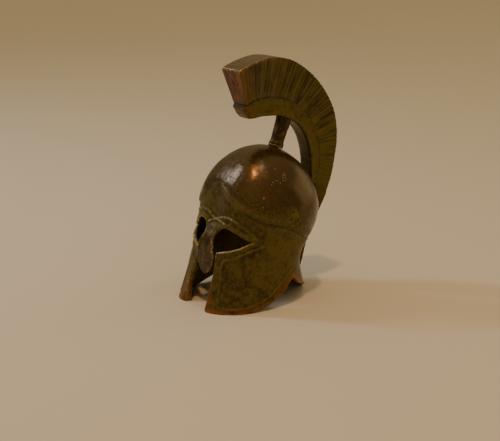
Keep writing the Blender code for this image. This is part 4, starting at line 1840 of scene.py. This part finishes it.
@dataclass(frozen=True)
class PaperFloor:
    """A matt sheet of pale paper that the helmet stands on."""

    colour: str = "#c9c2b2"
    half_size: float = 4.0

    def build(self) -> bpy.types.Object:
        """Lay the sheet and stage it.

        Returns:
            The floor.
        """
        material = bpy.data.materials.new("matt_pale_paper")
        material.use_nodes = True
        shader = material.node_tree.nodes["Principled BSDF"]
        shader.inputs["Base Color"].default_value = linear(self.colour)
        shader.inputs["Roughness"].default_value = 0.85
        mesh = bmesh.new()
        bmesh.ops.create_grid(mesh, x_segments=1, y_segments=1, size=self.half_size)
        data = bpy.data.meshes.new("paper_floor")
        mesh.to_mesh(data)
        mesh.free()
        data.materials.append(material)
        floor = bpy.data.objects.new("paper_floor", data)
        bpy.context.scene.collection.objects.link(floor)
        return floor


def hang(
    item: bpy.types.Object, target: Row, azimuth: float, elevation: float, distance: float
) -> None:
    """Put a lamp or a camera in the scene and point it at a target.

    Args:
        item: the lamp or the camera.
        target: the place that it looks at, in metres.
        azimuth: degrees round from the front towards the helmet's left.
        elevation: degrees above the target.
        distance: metres from the target.
    """
    around, up = math.radians(azimuth), math.radians(elevation)
    direction = Vector(
        (math.sin(around) * math.cos(up), -math.cos(around) * math.cos(up), math.sin(up))
    )
    item.location = Vector(target) + direction * distance
    item.rotation_euler = direction.to_track_quat("Z", "Y").to_euler()
    bpy.context.scene.collection.objects.link(item)


@dataclass(frozen=True)
class SoftBox:
    """An area light that faces the helmet from a direction."""

    name: str
    azimuth: float
    elevation: float
    distance: float
    width: float
    height: float
    power: float
    colour: str
    aim: tuple[float, float, float] = (0.0, -0.004, 0.05)

    def build(self) -> bpy.types.Object:
        """Make the light and turn it to its aim.

        Returns:
            The light.
        """
        data = bpy.data.lights.new(self.name, "AREA")
        data.shape = "RECTANGLE"
        data.size, data.size_y = self.width, self.height
        data.energy = self.power
        data.color = linear(self.colour)[:3]
        lamp = bpy.data.objects.new(self.name, data)
        hang(lamp, self.aim, self.azimuth, self.elevation, self.distance)
        return lamp


@dataclass(frozen=True)
class StudioCamera:
    """The camera at the photograph's viewing angle."""

    azimuth: float = 54.0
    elevation: float = 15.9
    distance: float = 0.39885
    target: tuple[float, float, float] = (0.0, -0.00571, 0.0288)
    lens: float = 75.24

    def build(self) -> bpy.types.Object:
        """Make the camera the scene's own.

        Returns:
            The camera.
        """
        data = bpy.data.cameras.new("studio_camera")
        data.lens = self.lens
        data.sensor_width = 36.0
        data.sensor_fit = "HORIZONTAL"
        data.clip_start, data.clip_end = 0.01, 50.0
        camera = bpy.data.objects.new("studio_camera", data)
        hang(camera, self.target, self.azimuth, self.elevation, self.distance)
        bpy.context.scene.camera = camera
        return camera


@dataclass(frozen=True)
class RoomLight:
    """Even warm light from all round, brighter from above."""

    colour: str = "#ffe0a8"
    low: float = 0.12
    high: float = 0.72

    def build(self) -> bpy.types.World:
        """Make it the scene's world.

        Returns:
            The world.
        """
        world = bpy.data.worlds.new("room_light")
        world.use_nodes = True
        tree = world.node_tree
        background = tree.nodes["Background"]
        background.inputs[0].default_value = linear(self.colour)
        direction = add_node(tree, "TexCoord").outputs["Generated"]
        parts = add_node(tree, "SeparateXYZ", {0: direction})
        strength = add_node(
            tree,
            "MapRange",
            {0: parts.outputs[2], 1: -0.1, 2: 1.0, 3: self.low, 4: self.high},
        )
        tree.links.new(strength.outputs[0], background.inputs[1])
        bpy.context.scene.world = world
        return world


def main() -> None:
    """Build the helmet's pieces, the floor, the lights and the camera."""
    logging.basicConfig(level=logging.INFO, format="%(message)s")
    surface, arc = HelmetSurface(), CrestArc()
    marks = tuple((*surface.crown_place(turn, top), size) for turn, top, size in CROWN_MARKS)
    shell_bronze = PatinatedBronze("cast_bronze_brown_patina", flecks=marks)
    ShellCasting(surface).build(shell_bronze.make())
    CrestHolder(arc).build(PatinatedBronze("cast_bronze_band_patina").make())
    CrestPlume(arc).build(PatinatedBronze("cast_bronze_hair_patina").make())
    CrestPost(surface).build(PatinatedBronze("cast_bronze_post_patina").make())
    PaperFloor().build()
    SoftBox("window_box", -54.0, 39.0, 0.6, 0.045, 0.22, 1.0, "#dcebff").build()
    SoftBox("warm_lamp", 50.0, 75.6, 0.6, 0.035, 0.035, 1.3, "#ffc68c").build()
    SoftBox("small_lamp", 134.0, 71.0, 0.6, 0.025, 0.025, 0.16, "#dfe9ff").build()
    SoftBox("rear_fill", 166.0, 8.0, 1.5, 1.2, 1.0, 3.4, "#ffe2b0").build()
    RoomLight().build()
    StudioCamera().build()


if __name__ == "__main__":
    main()
